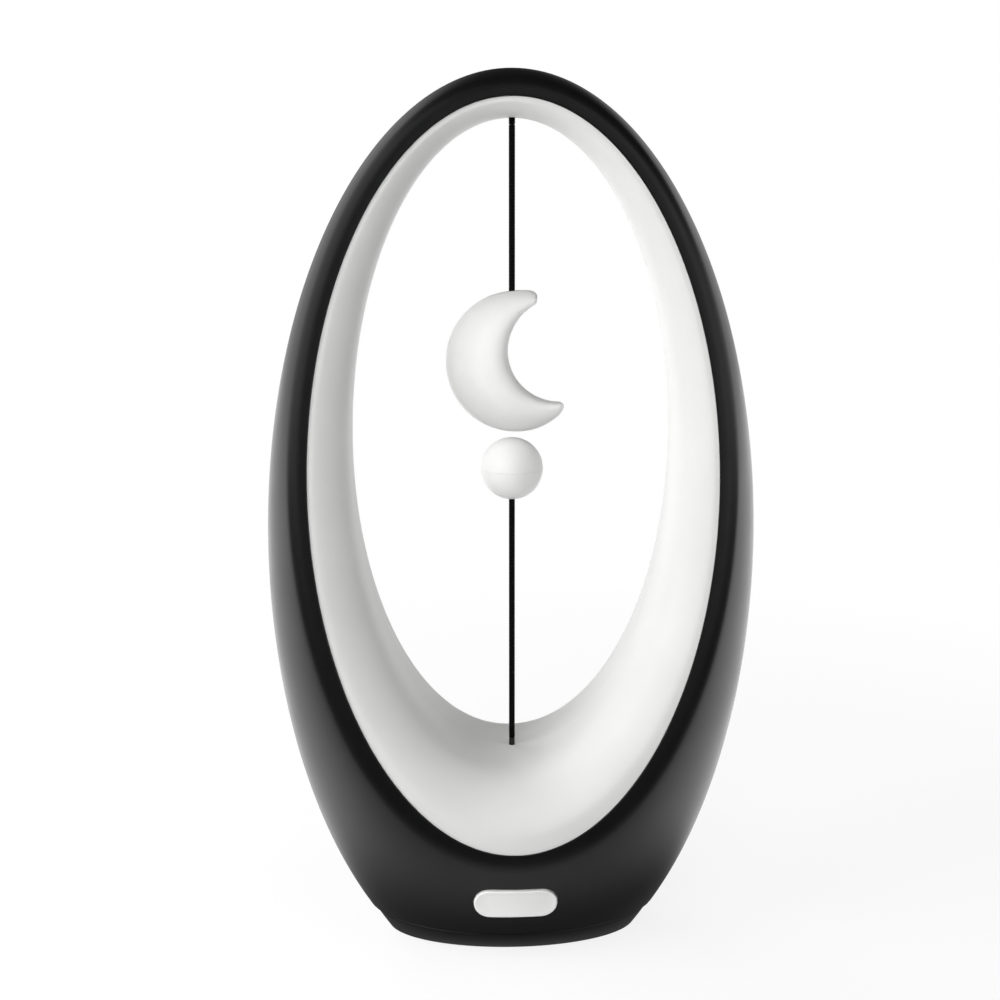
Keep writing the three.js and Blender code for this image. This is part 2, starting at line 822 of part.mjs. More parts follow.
function switchLever() {
  const hub = crossRod(leverHub, -leverWidth / 2, leverWidth / 2, 0, 0);
  const arm = block(0, leverReach, -leverWidth / 2, leverWidth / 2, -leverThickness / 2, leverThickness / 2);
  const geometry = asGeometry(hub.add(arm));
  geometry.rotateY(-leverTilt);
  geometry.translate(-leverPivotX, 0, leverPivot);
  return asSolid(geometry);
}

function pullRod() {
  const collarTop = collarHeight + collarThickness;
  const profile = [[0, rodTip]];
  for (let i = 1; i <= tipSteps; i += 1) {
    const turn = (i / tipSteps) * (Math.PI / 2);
    profile.push([tipRadius * Math.sin(turn), rodTip + tipRadius * (1 - Math.cos(turn))]);
  }
  profile.push([tipRadius, collarHeight]);
  profile.push([collarRadius, collarHeight]);
  profile.push([collarRadius, collarTop]);
  profile.push([cordRadius, collarTop]);
  profile.push([cordRadius, lowerPivot - knotRadius - fitGap]);
  profile.push([0, lowerPivot - knotRadius - fitGap]);
  return turned(profile);
}

class SpringCurve extends THREE.Curve {
  getPoint(share, target = new THREE.Vector3()) {
    const turn = share * springTurns * 2 * Math.PI;
    const z = springBottom + share * (springTop - springBottom);
    return target.set(springRadius * Math.cos(turn), springRadius * Math.sin(turn), z);
  }
}

const springBottom = collarHeight + collarThickness + fitGap + springWire;
const springTop = roofUnderside - fitGap - springWire;

function returnSpring() {
  const path = new SpringCurve();
  const points = path.getPoints(springTurns * turnSteps);
  let least = Infinity;
  for (let i = 0; i < points.length; i += 1) {
    for (let j = i + turnSteps / 2; j < points.length; j += 1) {
      least = Math.min(least, points[i].distanceTo(points[j]) - 2 * springWire);
    }
  }
  console.log(`return_spring: least gap between turns ${least.toFixed(2)} mm`);
  return tube(path, springWire, springSides, springTurns * turnSteps);
}

// Strings, knots, ball and moon

const cordStart = knotRadius + fitGap;

function lowerCord() {
  return uprightTube(cordRadius, lowerPivot + cordStart, ballKnot - knotRadius - fitGap);
}

function upperCord() {
  return uprightTube(cordRadius, moonKnot + knotRadius + fitGap, upperPivot - cordStart);
}

function ballMagnet() {
  return rod(magnetRadius, ballMagnetTop - magnetThickness, ballMagnetTop, 0, 0, roundSteps);
}

function ballHalf(way) {
  const reach = ballRadius + overrun;
  const flat = ballCentre + (way * fitGap) / 2;
  const half = way > 0
    ? block(-reach, reach, -reach, reach, flat, flat + reach)
    : block(-reach, reach, -reach, reach, flat - reach, flat);
  return sphere(ballRadius, ballCentre, 0, 0, roundSteps, roundSteps / 2)
    .intersect(half)
    .subtract(rod(magnetRadius + fitGap, ballCentre, ballMagnetTop + fitGap, 0, 0, roundSteps))
    .subtract(rod(knotRadius + fitGap, ballKnot - knotRadius - fitGap, ballCentre + fitGap))
    .subtract(rod(cordRadius + fitGap, ballCentre - ballRadius - overrun, ballKnot));
}

// The crescent lies between two circles. Ribs run out from the middle of the hollow's circle.
function moonRib(degrees) {
  const turn = THREE.MathUtils.degToRad(degrees);
  const way = new THREE.Vector2(Math.cos(turn), Math.sin(turn));
  const hollow = new THREE.Vector2(moonShift + moonHollowShift, moonHollowRise);
  const start = hollow.clone().sub(new THREE.Vector2(moonShift, 0));
  const far = rayToEllipse(start, way, moonRadius, moonRadius, 0)[1];
  const toUpper = (degrees - moonUpperTipAngle) / moonUpperTipRound;
  const toLower = (moonLowerTipAngle - degrees) / moonLowerTipRound;
  const near = Math.min(toUpper, toLower, 1);
  const round = Math.sqrt(1 - (1 - near) ** 2);
  return { way, hollow, inner: moonHollowRadius, outer: far, round };
}

const moonWidest = moonRadius + Math.hypot(moonHollowShift, moonHollowRise) - moonHollowRadius;

function moonRing(degrees) {
  const rib = moonRib(degrees);
  const width = rib.outer - rib.inner;
  const middle = (rib.outer + rib.inner) / 2;
  const fullShare = Math.min(width / moonWidest, 1);
  const thick = moonTipThickness + (moonThickness - moonTipThickness) * fullShare;
  const ring = [];
  for (let i = 0; i < moonSides; i += 1) {
    const turn = (i / moonSides) * 2 * Math.PI;
    const across = (width / 2) * (Math.cos(turn) - moonRidgeShare * Math.sin(turn) ** 2) * rib.round;
    const crown = (thick / 2) * Math.sign(Math.sin(turn)) * Math.abs(Math.sin(turn)) ** moonCrownShare;
    const reach = middle + across;
    ring.push(new THREE.Vector3(
      rib.hollow.x + rib.way.x * reach,
      crown * rib.round,
      moonCentre + rib.hollow.y + rib.way.y * reach,
    ));
  }
  return ring;
}

function moonSolid() {
  const start = moonUpperTipAngle + moonUpperTipRound;
  const end = moonLowerTipAngle - moonLowerTipRound;
  const angles = moonTipShares.map((share) => moonUpperTipAngle + share * moonUpperTipRound);
  for (let i = 0; i <= moonSteps; i += 1) angles.push(start + (i / moonSteps) * (end - start));
  angles.push(...moonTipShares.map((share) => moonLowerTipAngle - share * moonLowerTipRound).reverse());
  return loft(angles.map(moonRing));
}

function moonMagnetRod(grow) {
  const bottom = moonCentre - moonRadius + magnetCover + moonMagnetRise;
  return rod(magnetRadius + grow, bottom - grow, bottom + magnetThickness + grow, moonShift, 0, roundSteps);
}

function moonHalf(side) {
  const reach = 2 * moonRadius;
  const front = side < 0 ? -reach : fitGap / 2;
  const back = side < 0 ? -fitGap / 2 : reach;
  return moonSolid()
    .intersect(block(-reach, reach, front, back, moonCentre - reach, moonCentre + reach))
    .subtract(moonMagnetRod(fitGap))
    .subtract(sphere(knotRadius + slideGap, moonKnot))
    .subtract(rod(cordRadius + slideGap, moonKnot, moonSurface + overrun));
}

// A bush on the lining's ceiling that the upper string is tied into, with its stub in the bore
function cordAnchor() {
  const stubBottom = upperPivot + knotRadius + fitGap;
  const bottom = waistTop + diffuserWall + fitGap;
  const shoulder = bottom + anchorHeight / 2;
  return turned([
    [0, stubBottom],
    [cordRadius, stubBottom],
    [cordRadius, bottom],
    [anchorRadius, shoulder],
    [anchorRadius, bottom + anchorHeight],
    [0, bottom + anchorHeight],
  ]);
}

// Light strip

// The strip and its carrier are straight from one station to the next, with a chip in each middle
function stripStations() {
  const cuts = [];
  const span = 180 - 2 * stripStartAngle;
  for (let i = 0; i <= chipCount; i += 1) cuts.push(station(stripStartAngle + (i / chipCount) * span));
  return cuts;
}

const bandInner = (cut) => -cut.waist + diffuserWall + stripSetback;

function ledCarrier() {
  const half = carrierWidth / 2;
  const web = carrierWall / 2;
  const rings = stripStations().map((cut) => {
    const inner = bandInner(cut);
    const outer = inner + carrierWall;
    const edge = cut.edge - shellWall - 2 * fitGap;
    const section = [[inner, -half], [inner, half], [outer, half], [outer, web],
      [edge, web], [edge, -web], [outer, -web], [outer, -half]];
    return section.map(([r, y]) => place(cut, r, y));
  });
  const hub = (ring) => ringCentre([ring[0], ring[1], ring[3], ring[6]]);
  return loft(rings, { hub });
}

function ledStrip() {
  const half = stripWidth / 2;
  const rings = stripStations().map((cut) => {
    const outer = bandInner(cut) - fitGap;
    const inner = outer - stripThickness;
    return [[inner, -half], [inner, half], [outer, half], [outer, -half]].map(([r, y]) => place(cut, r, y));
  });
  let body = loft(rings);
  const face = (cut) => place(cut, bandInner(cut) - fitGap - stripThickness / 2, 0);
  const ends = stripStations().map(face);
  for (let i = 0; i < chipCount; i += 1) {
    const along = ends[i + 1].clone().sub(ends[i]);
    const geometry = new THREE.BoxGeometry(chipLength, chipWidth, chipHeight);
    geometry.translate(0, 0, chipHeight / 2);
    geometry.rotateY(-Math.atan2(along.z, along.x));
    const spot = ends[i].clone().add(ends[i + 1]).divideScalar(2);
    geometry.translate(spot.x, spot.y, spot.z);
    body = body.add(asSolid(geometry));
  }
  return body;
}

function ledLead() {
  const cut = station(stripStartAngle);
  const start = place(cut, bandInner(cut) - fitGap - stripThickness - leadRadius, 0);
  const end = new THREE.Vector3(plugX + plugLength / 4, plugY + plugLength / 2,
    boardTop + fitGap + plugHeight + fitGap);
  const drop = start.z - end.z;
  const [first, middle, last] = leadBendShares;
  const path = new THREE.CatmullRomCurve3([
    new THREE.Vector3(start.x + leadRadius, start.y, start.z - 2 * leadRadius),
    new THREE.Vector3(start.x + leadRadius, start.y, start.z - drop * first),
    new THREE.Vector3(start.x, start.y + end.y * middle, start.z - drop * middle),
    new THREE.Vector3(end.x, end.y, start.z - drop * last),
    end,
  ]);
  return tube(path, leadRadius, cordSides, roundSteps);
}

// Materials and the assembled lamp

function finish(colour, roughness, metalness = 0) {
  return new THREE.MeshStandardMaterial({ color: colour, roughness, metalness });
}

const blackPlastic = finish(colours.black, 0.5);
const whitePlastic = finish(colours.white, 0.45);
const boardGreen = finish(colours.board, 0.6);
const steel = finish(colours.steel, 0.3, 1);
const rubber = finish(colours.rubber, 0.9);
const magnetMetal = finish(colours.steel, 0.2, 1);
const cordBlack = finish(colours.black, 0.85);
const copper = finish(colours.copper, 0.5);

function group(...pieces) {
  const holder = new THREE.Group();
  for (const [name, solid, material] of pieces) {
    const mesh = new THREE.Mesh(asGeometry(solid), material);
    mesh.name = name;
    holder.add(mesh);
  }
  return holder;
}

const lamp = new THREE.Group();

lamp.add(group(
  ['front_shell', frontShell(), blackPlastic],
  ['rear_shell', rearShell(), blackPlastic],
  ['front_diffuser', diffuser(-1), whitePlastic],
  ['rear_diffuser', diffuser(1), whitePlastic],
  ['led_carrier', ledCarrier(), whitePlastic],
  ['led_strip', ledStrip(), whitePlastic],
  ['led_lead', ledLead(), copper],
));

lamp.add(group(
  ['base_cover', baseCover(), blackPlastic],
  ['foot_pad', footPadSolid(0), rubber],
  ['counterweight', counterweight(), steel],
  ['main_board', board(), boardGreen],
  ['driver_chip', driverChip(), blackPlastic],
  ['lead_plug', leadPlug(), whitePlastic],
  ['usb_shell', usbShell(), steel],
  ['usb_tongue', usbTongue(), blackPlastic],
));

lamp.add(group(
  ['mode_button', modeButton(), whitePlastic],
  ['tact_switch', tactSwitch(), blackPlastic],
  ['tact_plunger', tactPlunger(), blackPlastic],
));

lamp.add(group(
  ['switch_column', switchColumn(), blackPlastic],
  ['micro_switch', microSwitch(), blackPlastic],
  ['switch_lever', switchLever(), steel],
  ['pull_rod', pullRod(), cordBlack],
  ['return_spring', returnSpring(), steel],
  ['lower_knot', sphere(knotRadius, lowerPivot), cordBlack],
  ['lower_cord', lowerCord(), cordBlack],
));

lamp.add(group(
  ['ball_lower', ballHalf(-1), whitePlastic],
  ['ball_upper', ballHalf(1), whitePlastic],
  ['ball_magnet', ballMagnet(), magnetMetal],
  ['ball_knot', sphere(knotRadius, ballKnot), cordBlack],
));

lamp.add(group(
  ['cord_anchor', cordAnchor(), blackPlastic],
  ['upper_knot', sphere(knotRadius, upperPivot), cordBlack],
  ['upper_cord', upperCord(), cordBlack],
  ['moon_knot', sphere(knotRadius, moonKnot), cordBlack],
  ['moon_front', moonHalf(-1), whitePlastic],
  ['moon_rear', moonHalf(1), whitePlastic],
  ['moon_magnet', moonMagnetRod(0), magnetMetal],
));

const screws = [];
eachBoss((x, y) => {
  const name = `base_screw_${screws.length + 1}`;
  screws.push([name, screw(x, y, lowerSeat, baseScrewLength, 1), steel]);
});
eachPost((x, y) => {
  const name = `board_screw_${screws.length - 3}`;
  screws.push([name, screw(x, y, boardTop + fitGap, smallScrewLength, -1), steel]);
});
[-1, 1].forEach((way, i) => {
  screws.push([`weight_screw_${i + 1}`, screw(way * weightScrewX, 0, lowerSeat, smallScrewLength, 1), steel]);
  const ear = columnBottom + columnWall + fitGap;
  screws.push([`column_screw_${i + 1}`, screw(way * earScrewX, 0, ear, smallScrewLength, -1), steel]);
});
lamp.add(group(...screws));

export default lamp;
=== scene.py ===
import math
from types import SimpleNamespace

import bmesh
import bpy
from mathutils import Matrix, Vector


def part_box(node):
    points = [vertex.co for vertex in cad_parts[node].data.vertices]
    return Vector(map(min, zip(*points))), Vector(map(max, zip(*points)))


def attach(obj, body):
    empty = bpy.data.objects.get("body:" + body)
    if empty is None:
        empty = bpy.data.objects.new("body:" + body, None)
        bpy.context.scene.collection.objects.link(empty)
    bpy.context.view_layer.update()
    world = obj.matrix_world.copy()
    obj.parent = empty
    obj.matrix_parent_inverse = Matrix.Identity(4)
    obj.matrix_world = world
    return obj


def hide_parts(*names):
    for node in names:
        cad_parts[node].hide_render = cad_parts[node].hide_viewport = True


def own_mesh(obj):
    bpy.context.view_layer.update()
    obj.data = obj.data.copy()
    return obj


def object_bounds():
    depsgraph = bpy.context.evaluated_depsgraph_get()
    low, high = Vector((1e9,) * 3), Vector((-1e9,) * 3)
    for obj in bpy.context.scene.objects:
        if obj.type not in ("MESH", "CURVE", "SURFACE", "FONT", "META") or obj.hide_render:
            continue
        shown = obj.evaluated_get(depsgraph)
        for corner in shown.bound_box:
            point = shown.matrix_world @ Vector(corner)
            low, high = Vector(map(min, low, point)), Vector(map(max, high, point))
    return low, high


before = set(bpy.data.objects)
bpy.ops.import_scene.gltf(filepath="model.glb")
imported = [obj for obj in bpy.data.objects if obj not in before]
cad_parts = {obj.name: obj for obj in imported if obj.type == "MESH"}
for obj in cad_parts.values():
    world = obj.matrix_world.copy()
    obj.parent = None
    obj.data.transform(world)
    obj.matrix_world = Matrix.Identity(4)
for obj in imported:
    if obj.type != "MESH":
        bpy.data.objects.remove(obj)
cad_box = [list(corner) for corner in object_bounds()]

bl_info = {
    "name": "Magnetic balance lamp",
    "version": (1, 0, 0),
    "blender": (4, 5, 0),
    "location": "View3D > Sidebar > Lamp",
    "description": "Dresses the balance lamp's solids with finely shaped pieces and finishes",
    "category": "Object",
}

MM = 0.001
ORDER = "order"
PREFIX = "lamp_"
HALVES = ((-1, "front"), (1, "rear"))


# Settings


def length(name, millimetres, description):
    return bpy.props.FloatProperty(name=name, description=description, default=millimetres * MM,
                                   unit="LENGTH", precision=5)


def share(name, default, description):
    return bpy.props.FloatProperty(name=name, description=description, default=default,
                                   subtype="FACTOR", min=0, max=1)


def number(name, default, description):
    return bpy.props.FloatProperty(name=name, description=description, default=default)


def colour(name, default, description):
    return bpy.props.FloatVectorProperty(name=name, description=description, default=default,
                                         subtype="COLOR", size=3, min=0, max=1)


class LampSizes(bpy.types.PropertyGroup):
    egg_half_width: length("Egg half width", cad_box[1][0] / MM, "Half the hoop's width at its widest")
    egg_half_depth: length("Egg half depth", 38.9, "Half the depth of the egg's skin in its middle")
    egg_top: length("Egg top", cad_box[1][2] / MM, "Height of the top of the hoop")
    widest_height: length("Widest height", 114, "Height of the hoop's widest place")
    lower_half_height: length("Lower half height", 133.5, "From the widest place to the egg's bottom")
    seam_height: length("Seam height", 9, "Height of the gap between the shells and the foot")
    crease_half_width: length("Crease half width", 59, "Half the width of the front face's crease")
    crease_half_height: length("Crease half height", 104.5, "Half the front face's crease in height")
    crease_centre: length("Crease centre", 136.8, "Height of the middle of the crease")
    crease_softness: length("Crease softness", 2.2, "How far the crease's rounding reaches each way")
    land_width: length("Land width", 4, "Width of the flat black face round the opening")
    rim_softness: length("Rim softness", 0.35, "How far the rounding of the rim reaches")
    lip_thickness: length("Lip thickness", 0.4, "Thickness of the shell's lip over the lining")
    lip_gap: length("Lip gap", 0.1, "Gap between the shell's lip and the lining")
    rebate_width: length("Rebate width", 2.2, "How far the lining reaches under the land")
    shell_wall: length("Shell wall", 1.8, "Wall of the black shells")
    waist_half_width: length("Waist half width", 44.15, "Half the opening's width at its narrowest")
    waist_half_height: length("Waist half height", 88, "Half the opening's height at its narrowest")
    waist_centre: length("Waist centre", 144.35, "Height of the middle of the opening")
    floor_roundness: number("Floor roundness", 5.0, "Flatness of the lining's waist at the floor")
    ceiling_roundness: number("Ceiling roundness", 2.7, "Flatness of the lining's waist at the ceiling")
    face_roundness: number("Face roundness", 1.25, "Fullness of the lining's front, 1 is straight")
    floor_fold: length("Floor fold", 5.2, "Width of the lining's flat front edge at the floor")
    side_fold: length("Side fold", 1.2, "Width of the lining's flat front edge at the sides")
    lining_wall: length("Lining wall", 1.5, "Wall of the white lining")
    fit_gap: length("Fit gap", 0.3, "Gap between neighbouring pieces")
    foot_half_width: length("Foot half width", 36, "Half the foot's width at the table")
    foot_half_depth: length("Foot half depth", 15.5, "Half the foot's depth at the table")
    foot_setback: length("Foot setback", 0.7, "How far the foot's ends stand back from the shells")
    foot_curl: share("Foot curl", 0.58, "How much of the foot's inward sweep comes at its bottom")
    pad_recess: length("Pad recess", 0.5, "Height of the foot's rim over the table")
    button_half_width: length("Button half width", 11.6, "Half the width of the push button")
    button_half_height: length("Button half height", 4.6, "Half the height of the push button")
    button_end_round: length("Button end round", 4.4, "How far the button's rounded ends reach")
    button_height: length("Button height", 20.7, "Height of the button's middle")
    button_proud: length("Button proud", 0.95, "How far the button stands out of the shell")
    button_gap: length("Button gap", 0.3, "Gap round the button")
    ball_radius: length("Ball radius", 8.66, "Radius of the ball")
    ball_centre: length("Ball centre", 138.15, "Height of the ball's middle")
    moon_radius: length("Moon radius", 19.3, "Radius of the moon's outer circle")
    moon_shift: length("Moon shift", 1.2, "How far the moon's circle lies to the right of its string")
    moon_centre: length("Moon centre", 167.85, "Height of the moon's middle")
    hollow_radius: length("Hollow radius", 14.3, "Radius of the moon's hollow")
    hollow_shift: length("Hollow shift", 12, "How far the hollow lies beside the moon's middle")
    hollow_rise: length("Hollow rise", 3.05, "How far the hollow lies over the moon's middle")
    moon_thickness: length("Moon thickness", 14.3, "Thickness of the moon at its widest place")
    tip_thickness: length("Tip thickness", 4.4, "Thickness of the moon near its tips")
    ridge: share("Ridge", 0.42, "How far the moon's ridge lies towards its hollow")
    cord_radius: length("Cord radius", 0.85, "Radius of the braided strings")
    braid_pitch: length("Braid pitch", 5.2, "Length of string in which a strand goes round once")
    joint_slope: share("Joint slope", 0.06, "How steeply the lining falls away from its joint")


class LampColours(bpy.types.PropertyGroup):
    shell: colour("Shell", (0.0036, 0.0036, 0.0038), "Black of the shells and the foot")
    lining: colour("Lining", (0.765, 0.765, 0.755), "White of the lining")
    button: colour("Button", (0.95, 0.95, 0.94), "White of the push button")
    ball: colour("Ball", (0.87, 0.87, 0.86), "White of the ball")
    moon: colour("Moon", (0.95, 0.95, 0.94), "White of the moon")
    cord: colour("Strings", (0.0016, 0.0016, 0.0017), "Black of the braided strings")
    rubber: colour("Rubber", (0.018, 0.018, 0.019), "Black of the foot pad")
    board: colour("Board", (0.015, 0.11, 0.035), "Green of the circuit board")
    steel: colour("Steel", (0.56, 0.57, 0.58), "Grey of the steel pieces")
    magnet: colour("Magnet", (0.62, 0.61, 0.58), "Bright nickel of the magnets")
    carrier: colour("Carrier", (0.72, 0.72, 0.69), "White of the strip's carrier and the lead's plug")
    strip: colour("Strip", (0.80, 0.80, 0.76), "White of the light strip")
    part: colour("Small parts", (0.004, 0.004, 0.0043), "Black of the switches and their housing")
    wire: colour("Wire", (0.45, 0.03, 0.02), "Red of the lead's covering")
    floor: colour("Floor", (0.82, 0.82, 0.82), "White of the floor")


def sizes():
    group = bpy.context.scene.lamp_sizes
    return SimpleNamespace(**{name: getattr(group, name) for name in LampSizes.__annotations__})


# Finishes


def arithmetic(operation, swapped=False):
    """A method that adds a maths node for its own wire and another value"""
    def method(self, other):
        values = (other, self) if swapped else (self, other)
        return self.maths(operation, *values)
    return method


class Wire:
    """A socket that plain arithmetic can be done with."""

    def __init__(self, finish, socket):
        self.finish = finish
        self.socket = socket

    def maths(self, operation, *values):
        return self.finish.node("ShaderNodeMath", {"operation": operation}, dict(enumerate(values)))

    __add__ = arithmetic("ADD")
    __radd__ = arithmetic("ADD", swapped=True)
    __sub__ = arithmetic("SUBTRACT")
    __rsub__ = arithmetic("SUBTRACT", swapped=True)
    __mul__ = arithmetic("MULTIPLY")
    __rmul__ = arithmetic("MULTIPLY", swapped=True)
    __truediv__ = arithmetic("DIVIDE")
    __pow__ = arithmetic("POWER")
    above = arithmetic("GREATER_THAN")
    larger = arithmetic("MAXIMUM")

    def size(self):
        return self.maths("ABSOLUTE", self)

    def between(self, low, high):
        """0 below low, 1 above high, and even between them"""
        settings = {"interpolation_type": "SMOOTHSTEP"}
        return self.finish.node("ShaderNodeMapRange", settings, {"Value": self, 1: low, 2: high})


class Finish:
    """A new material, or the world, whose nodes are added one call at a time."""

    def __init__(self, name, owner=None):
        self.owner = owner or bpy.data.materials.new(PREFIX + name)
        self.owner.use_nodes = True
        self.nodes = self.owner.node_tree.nodes
        self.links = self.owner.node_tree.links
        self.nodes.clear()

    def node(self, kind, settings=None, values=None, output=0):
        made = self.nodes.new(kind)
        for name, setting in (settings or {}).items():
            if name == "stops":
                self.set_stops(made.color_ramp, setting)
            else:
                setattr(made, name, setting)
        for name, value in (values or {}).items():
            if isinstance(value, Wire):
                self.links.new(value.socket, made.inputs[name])
            else:
                made.inputs[name].default_value = value
        return Wire(self, made.outputs[output])

    def set_stops(self, ramp, stops):
        while len(ramp.elements) < len(stops):
            ramp.elements.new(0.5)
        for element, (position, tone) in zip(ramp.elements, stops):
            element.position = position
            element.color = (tone, tone, tone, 1)

    def place(self):
        return self.node("ShaderNodeTexCoord", output="Object")

    def split(self, place):
        return [self.node("ShaderNodeSeparateXYZ", values={0: place}, output=way) for way in "XYZ"]

    def noise(self, size, detail=2, where=None):
        """Noise whose lumps are about this size, in metres"""
        return self.node("ShaderNodeTexNoise", values={
            "Vector": where or self.place(), "Scale": 1 / size, "Detail": detail})

    def mix(self, factor, first, second, blend="MIX"):
        settings = {"data_type": "RGBA", "blend_type": blend}
        return self.node("ShaderNodeMix", settings, {0: factor, 6: first, 7: second}, output=2)

    def dot(self, first, second):
        values = {0: first, 1: second}
        return self.node("ShaderNodeVectorMath", {"operation": "DOT_PRODUCT"}, values, output="Value")

    def bump(self, height, distance, strength=1.0):
        return self.node("ShaderNodeBump", values={
            "Height": height, "Distance": distance, "Strength": strength})

    def surface(self, **values):
        """The shader itself. Names are its sockets' names with _ for a space."""
        sockets = {name.replace("_", " "): value for name, value in values.items()}
        self.show(self.node("ShaderNodeBsdfPrincipled", values=sockets))
        return self.owner

    def show(self, shader, output="ShaderNodeOutputMaterial"):
        made = self.nodes.new(output)
        self.links.new(shader.socket, made.inputs["Surface"])


def full(tone, factor=1.0):
    """A colour with its alpha, made lighter or darker"""
    return (*(min(part * factor, 1.0) for part in tone), 1.0)


def moulded_plastic(name, tone, roughness, grain, depth, specular, mottle, painted_shade=None):
    """Moulded plastic with a fine grain, soft waves from the mould, and a slightly uneven gloss"""
    finish = Finish(name)
    fine = finish.noise(grain * MM, detail=3)
    slow = finish.noise(14 * MM, detail=2)
    cloudy = finish.noise(4 * MM, detail=3)
    tint = (cloudy * 0.6 + fine * 0.4).between(0.3, 0.7)
    base = finish.mix(tint, full(tone, 1 - mottle), full(tone, 1 + mottle))
    # Painted shade, where one is given, is multiplied into the base colour
    if painted_shade:
        base = finish.mix(1.0, base, painted_shade(finish), blend="MULTIPLY")
    return finish.surface(
        Base_Color=base,
        Roughness=roughness + (slow - 0.5) * 0.10 + (fine - 0.5) * 0.08,
        Specular_IOR_Level=specular,
        Normal=finish.bump(fine, depth * MM, 0.6),
    )


def crescent_painted_shade(finish):
    """Painted shade and highlight: the moon's colour is darker towards its outer edge and along its
    hollow, and lightest about three quarters of the way from its edge to its hollow
    """
    s = sizes()
    across, _, height = finish.split(finish.place())

    def far(x, z):
        return ((across - x) ** 2 + (height - z) ** 2) ** 0.5

    from_rim = s.moon_radius - far(s.moon_shift, s.moon_centre)
    from_hollow = far(s.moon_shift + s.hollow_shift, s.moon_centre + s.hollow_rise) - s.hollow_radius
    # Painted shade: tone from the moon's outer edge (0) to its hollow (1)
    stops = ((0.08, 0.74), (0.3, 0.83), (0.52, 0.94), (0.74, 1.0), (0.88, 0.96), (1.0, 0.84))
    return finish.node("ShaderNodeValToRGB", {"stops": stops}, {0: from_rim / (from_rim + from_hollow)})


def lining_white(tones):
    finish = Finish("lining_white")
    fine = finish.noise(0.30 * MM, detail=3)
    slow = finish.noise(22 * MM, detail=2).between(0.3, 0.7)
    return finish.surface(
        Base_Color=finish.mix(slow, full(tones.lining, 0.985), full(tones.lining, 1.015)),
        Roughness=0.42 + (fine - 0.5) * 0.08,
        Specular_IOR_Level=0.4,
        Normal=finish.bump(fine, 0.006 * MM, 0.5),
    )


def braided_cord(tones):
    """Dark yarn with fibres along the strands. Painted shade: it is lighter where a strand stands proud
    and darker between the strands
    """
    finish = Finish("cord_black")
    strand = finish.node("ShaderNodeAttribute", {"attribute_name": "strand"}, output="Fac")
    fibre = finish.noise(0.12 * MM, detail=3)
    # Painted shade: the colour follows the strands' height, darker in the hollows between them
    light = (strand * 0.75 + fibre * 0.4).between(0.35, 1.0)
    return finish.surface(
        Base_Color=finish.mix(light, full(tones.cord, 0.4), full(tones.cord, 2.0)),
        Roughness=0.8 + (fibre - 0.5) * 0.2,
        Specular_IOR_Level=0.12,
        Sheen_Weight=0.03,
        Sheen_Roughness=0.4,
        Normal=finish.bump(fibre, 0.05 * MM, 0.6),
    )


def circuit_board(tones):
    """Solder mask with copper tracks under it, and a fine glass weave"""
    finish = Finish("board")
    place = finish.place()
    weave = finish.node("ShaderNodeTexWave", {"bands_direction": "X"}, {"Vector": place, "Scale": 900})
    tracks = finish.node("ShaderNodeTexBrick", values={
        "Vector": place, "Scale": 160, "Mortar Size": 0.06, "Brick Width": 1.7, "Row Height": 0.45,
    }, output=1)
    raised = tracks.above(0.5)
    return finish.surface(
        Base_Color=finish.mix(raised, full(tones.board), full(tones.board, 1.7)),
        Roughness=0.36 + weave * 0.08,
        Normal=finish.bump(raised + weave * 0.2, 0.03 * MM, 0.5),
    )


def brushed_metal(name, tone, roughness, size):
    """Metal with turning marks and small differences in its shine"""
    finish = Finish(name)
    place = finish.place()
    stretched = finish.node("ShaderNodeMapping", values={"Vector": place, "Scale": (1, 1, 8)})
    marks = finish.noise(size, detail=4, where=stretched)
    clouds = finish.noise(3 * MM, detail=2)
    return finish.surface(
        Base_Color=finish.mix(clouds, full(tone, 0.92), full(tone, 1.05)),
        Metallic=1.0,
        Roughness=roughness + marks * 0.16,
        Normal=finish.bump(marks, 0.01 * MM, 0.5),
    )


def light_strip(tones):
    """White strip whose chips have a warm phosphor face"""
    finish = Finish("strip_white")
    fine = finish.noise(0.5 * MM, detail=2)
    clouds = finish.noise(5 * MM, detail=1)
    warm = full((0.78, 0.62, 0.22))
    return finish.surface(
        Base_Color=finish.mix(clouds.between(0.5, 0.7), full(tones.strip), warm),
        Roughness=0.4 + fine * 0.15,
        Normal=finish.bump(fine, 0.01 * MM, 0.5),
    )


def make_finishes():
    """Plastics have roughness, grain size, grain depth, specular level, mottle and, for the moon, a
    painted shade
    """
    tones = bpy.context.scene.lamp_colours
    for name, tone, *values in (
        ("shell_black", tones.shell, 0.33, 0.22, 0.012, 0.42, 0.18),
        ("pad_rubber", tones.rubber, 0.78, 0.3, 0.03, 0.25, 0.2),
        ("button_white", tones.button, 0.34, 0.2, 0.004, 0.45, 0.015),
        ("ball_white", tones.ball, 0.42, 0.2, 0.005, 0.4, 0.015),
        # The moon's white gets painted shade multiplied into its colour
        ("moon_white", tones.moon, 0.42, 0.2, 0.005, 0.4, 0.015, crescent_painted_shade),
        ("carrier_white", tones.carrier, 0.5, 0.3, 0.01, 0.5, 0.03),
        ("part_black", tones.part, 0.5, 0.25, 0.012, 0.5, 0.15),
        ("wire", tones.wire, 0.45, 0.3, 0.008, 0.5, 0.08),
    ):
        moulded_plastic(name, tone, *values)
    lining_white(tones)
    braided_cord(tones)
    circuit_board(tones)
    light_strip(tones)
    brushed_metal("steel", tones.steel, 0.26, 0.4 * MM)
    brushed_metal("magnet", tones.magnet, 0.14, 0.8 * MM)


def finish_named(name):
    return bpy.data.materials[PREFIX + name]


# Modelling steps


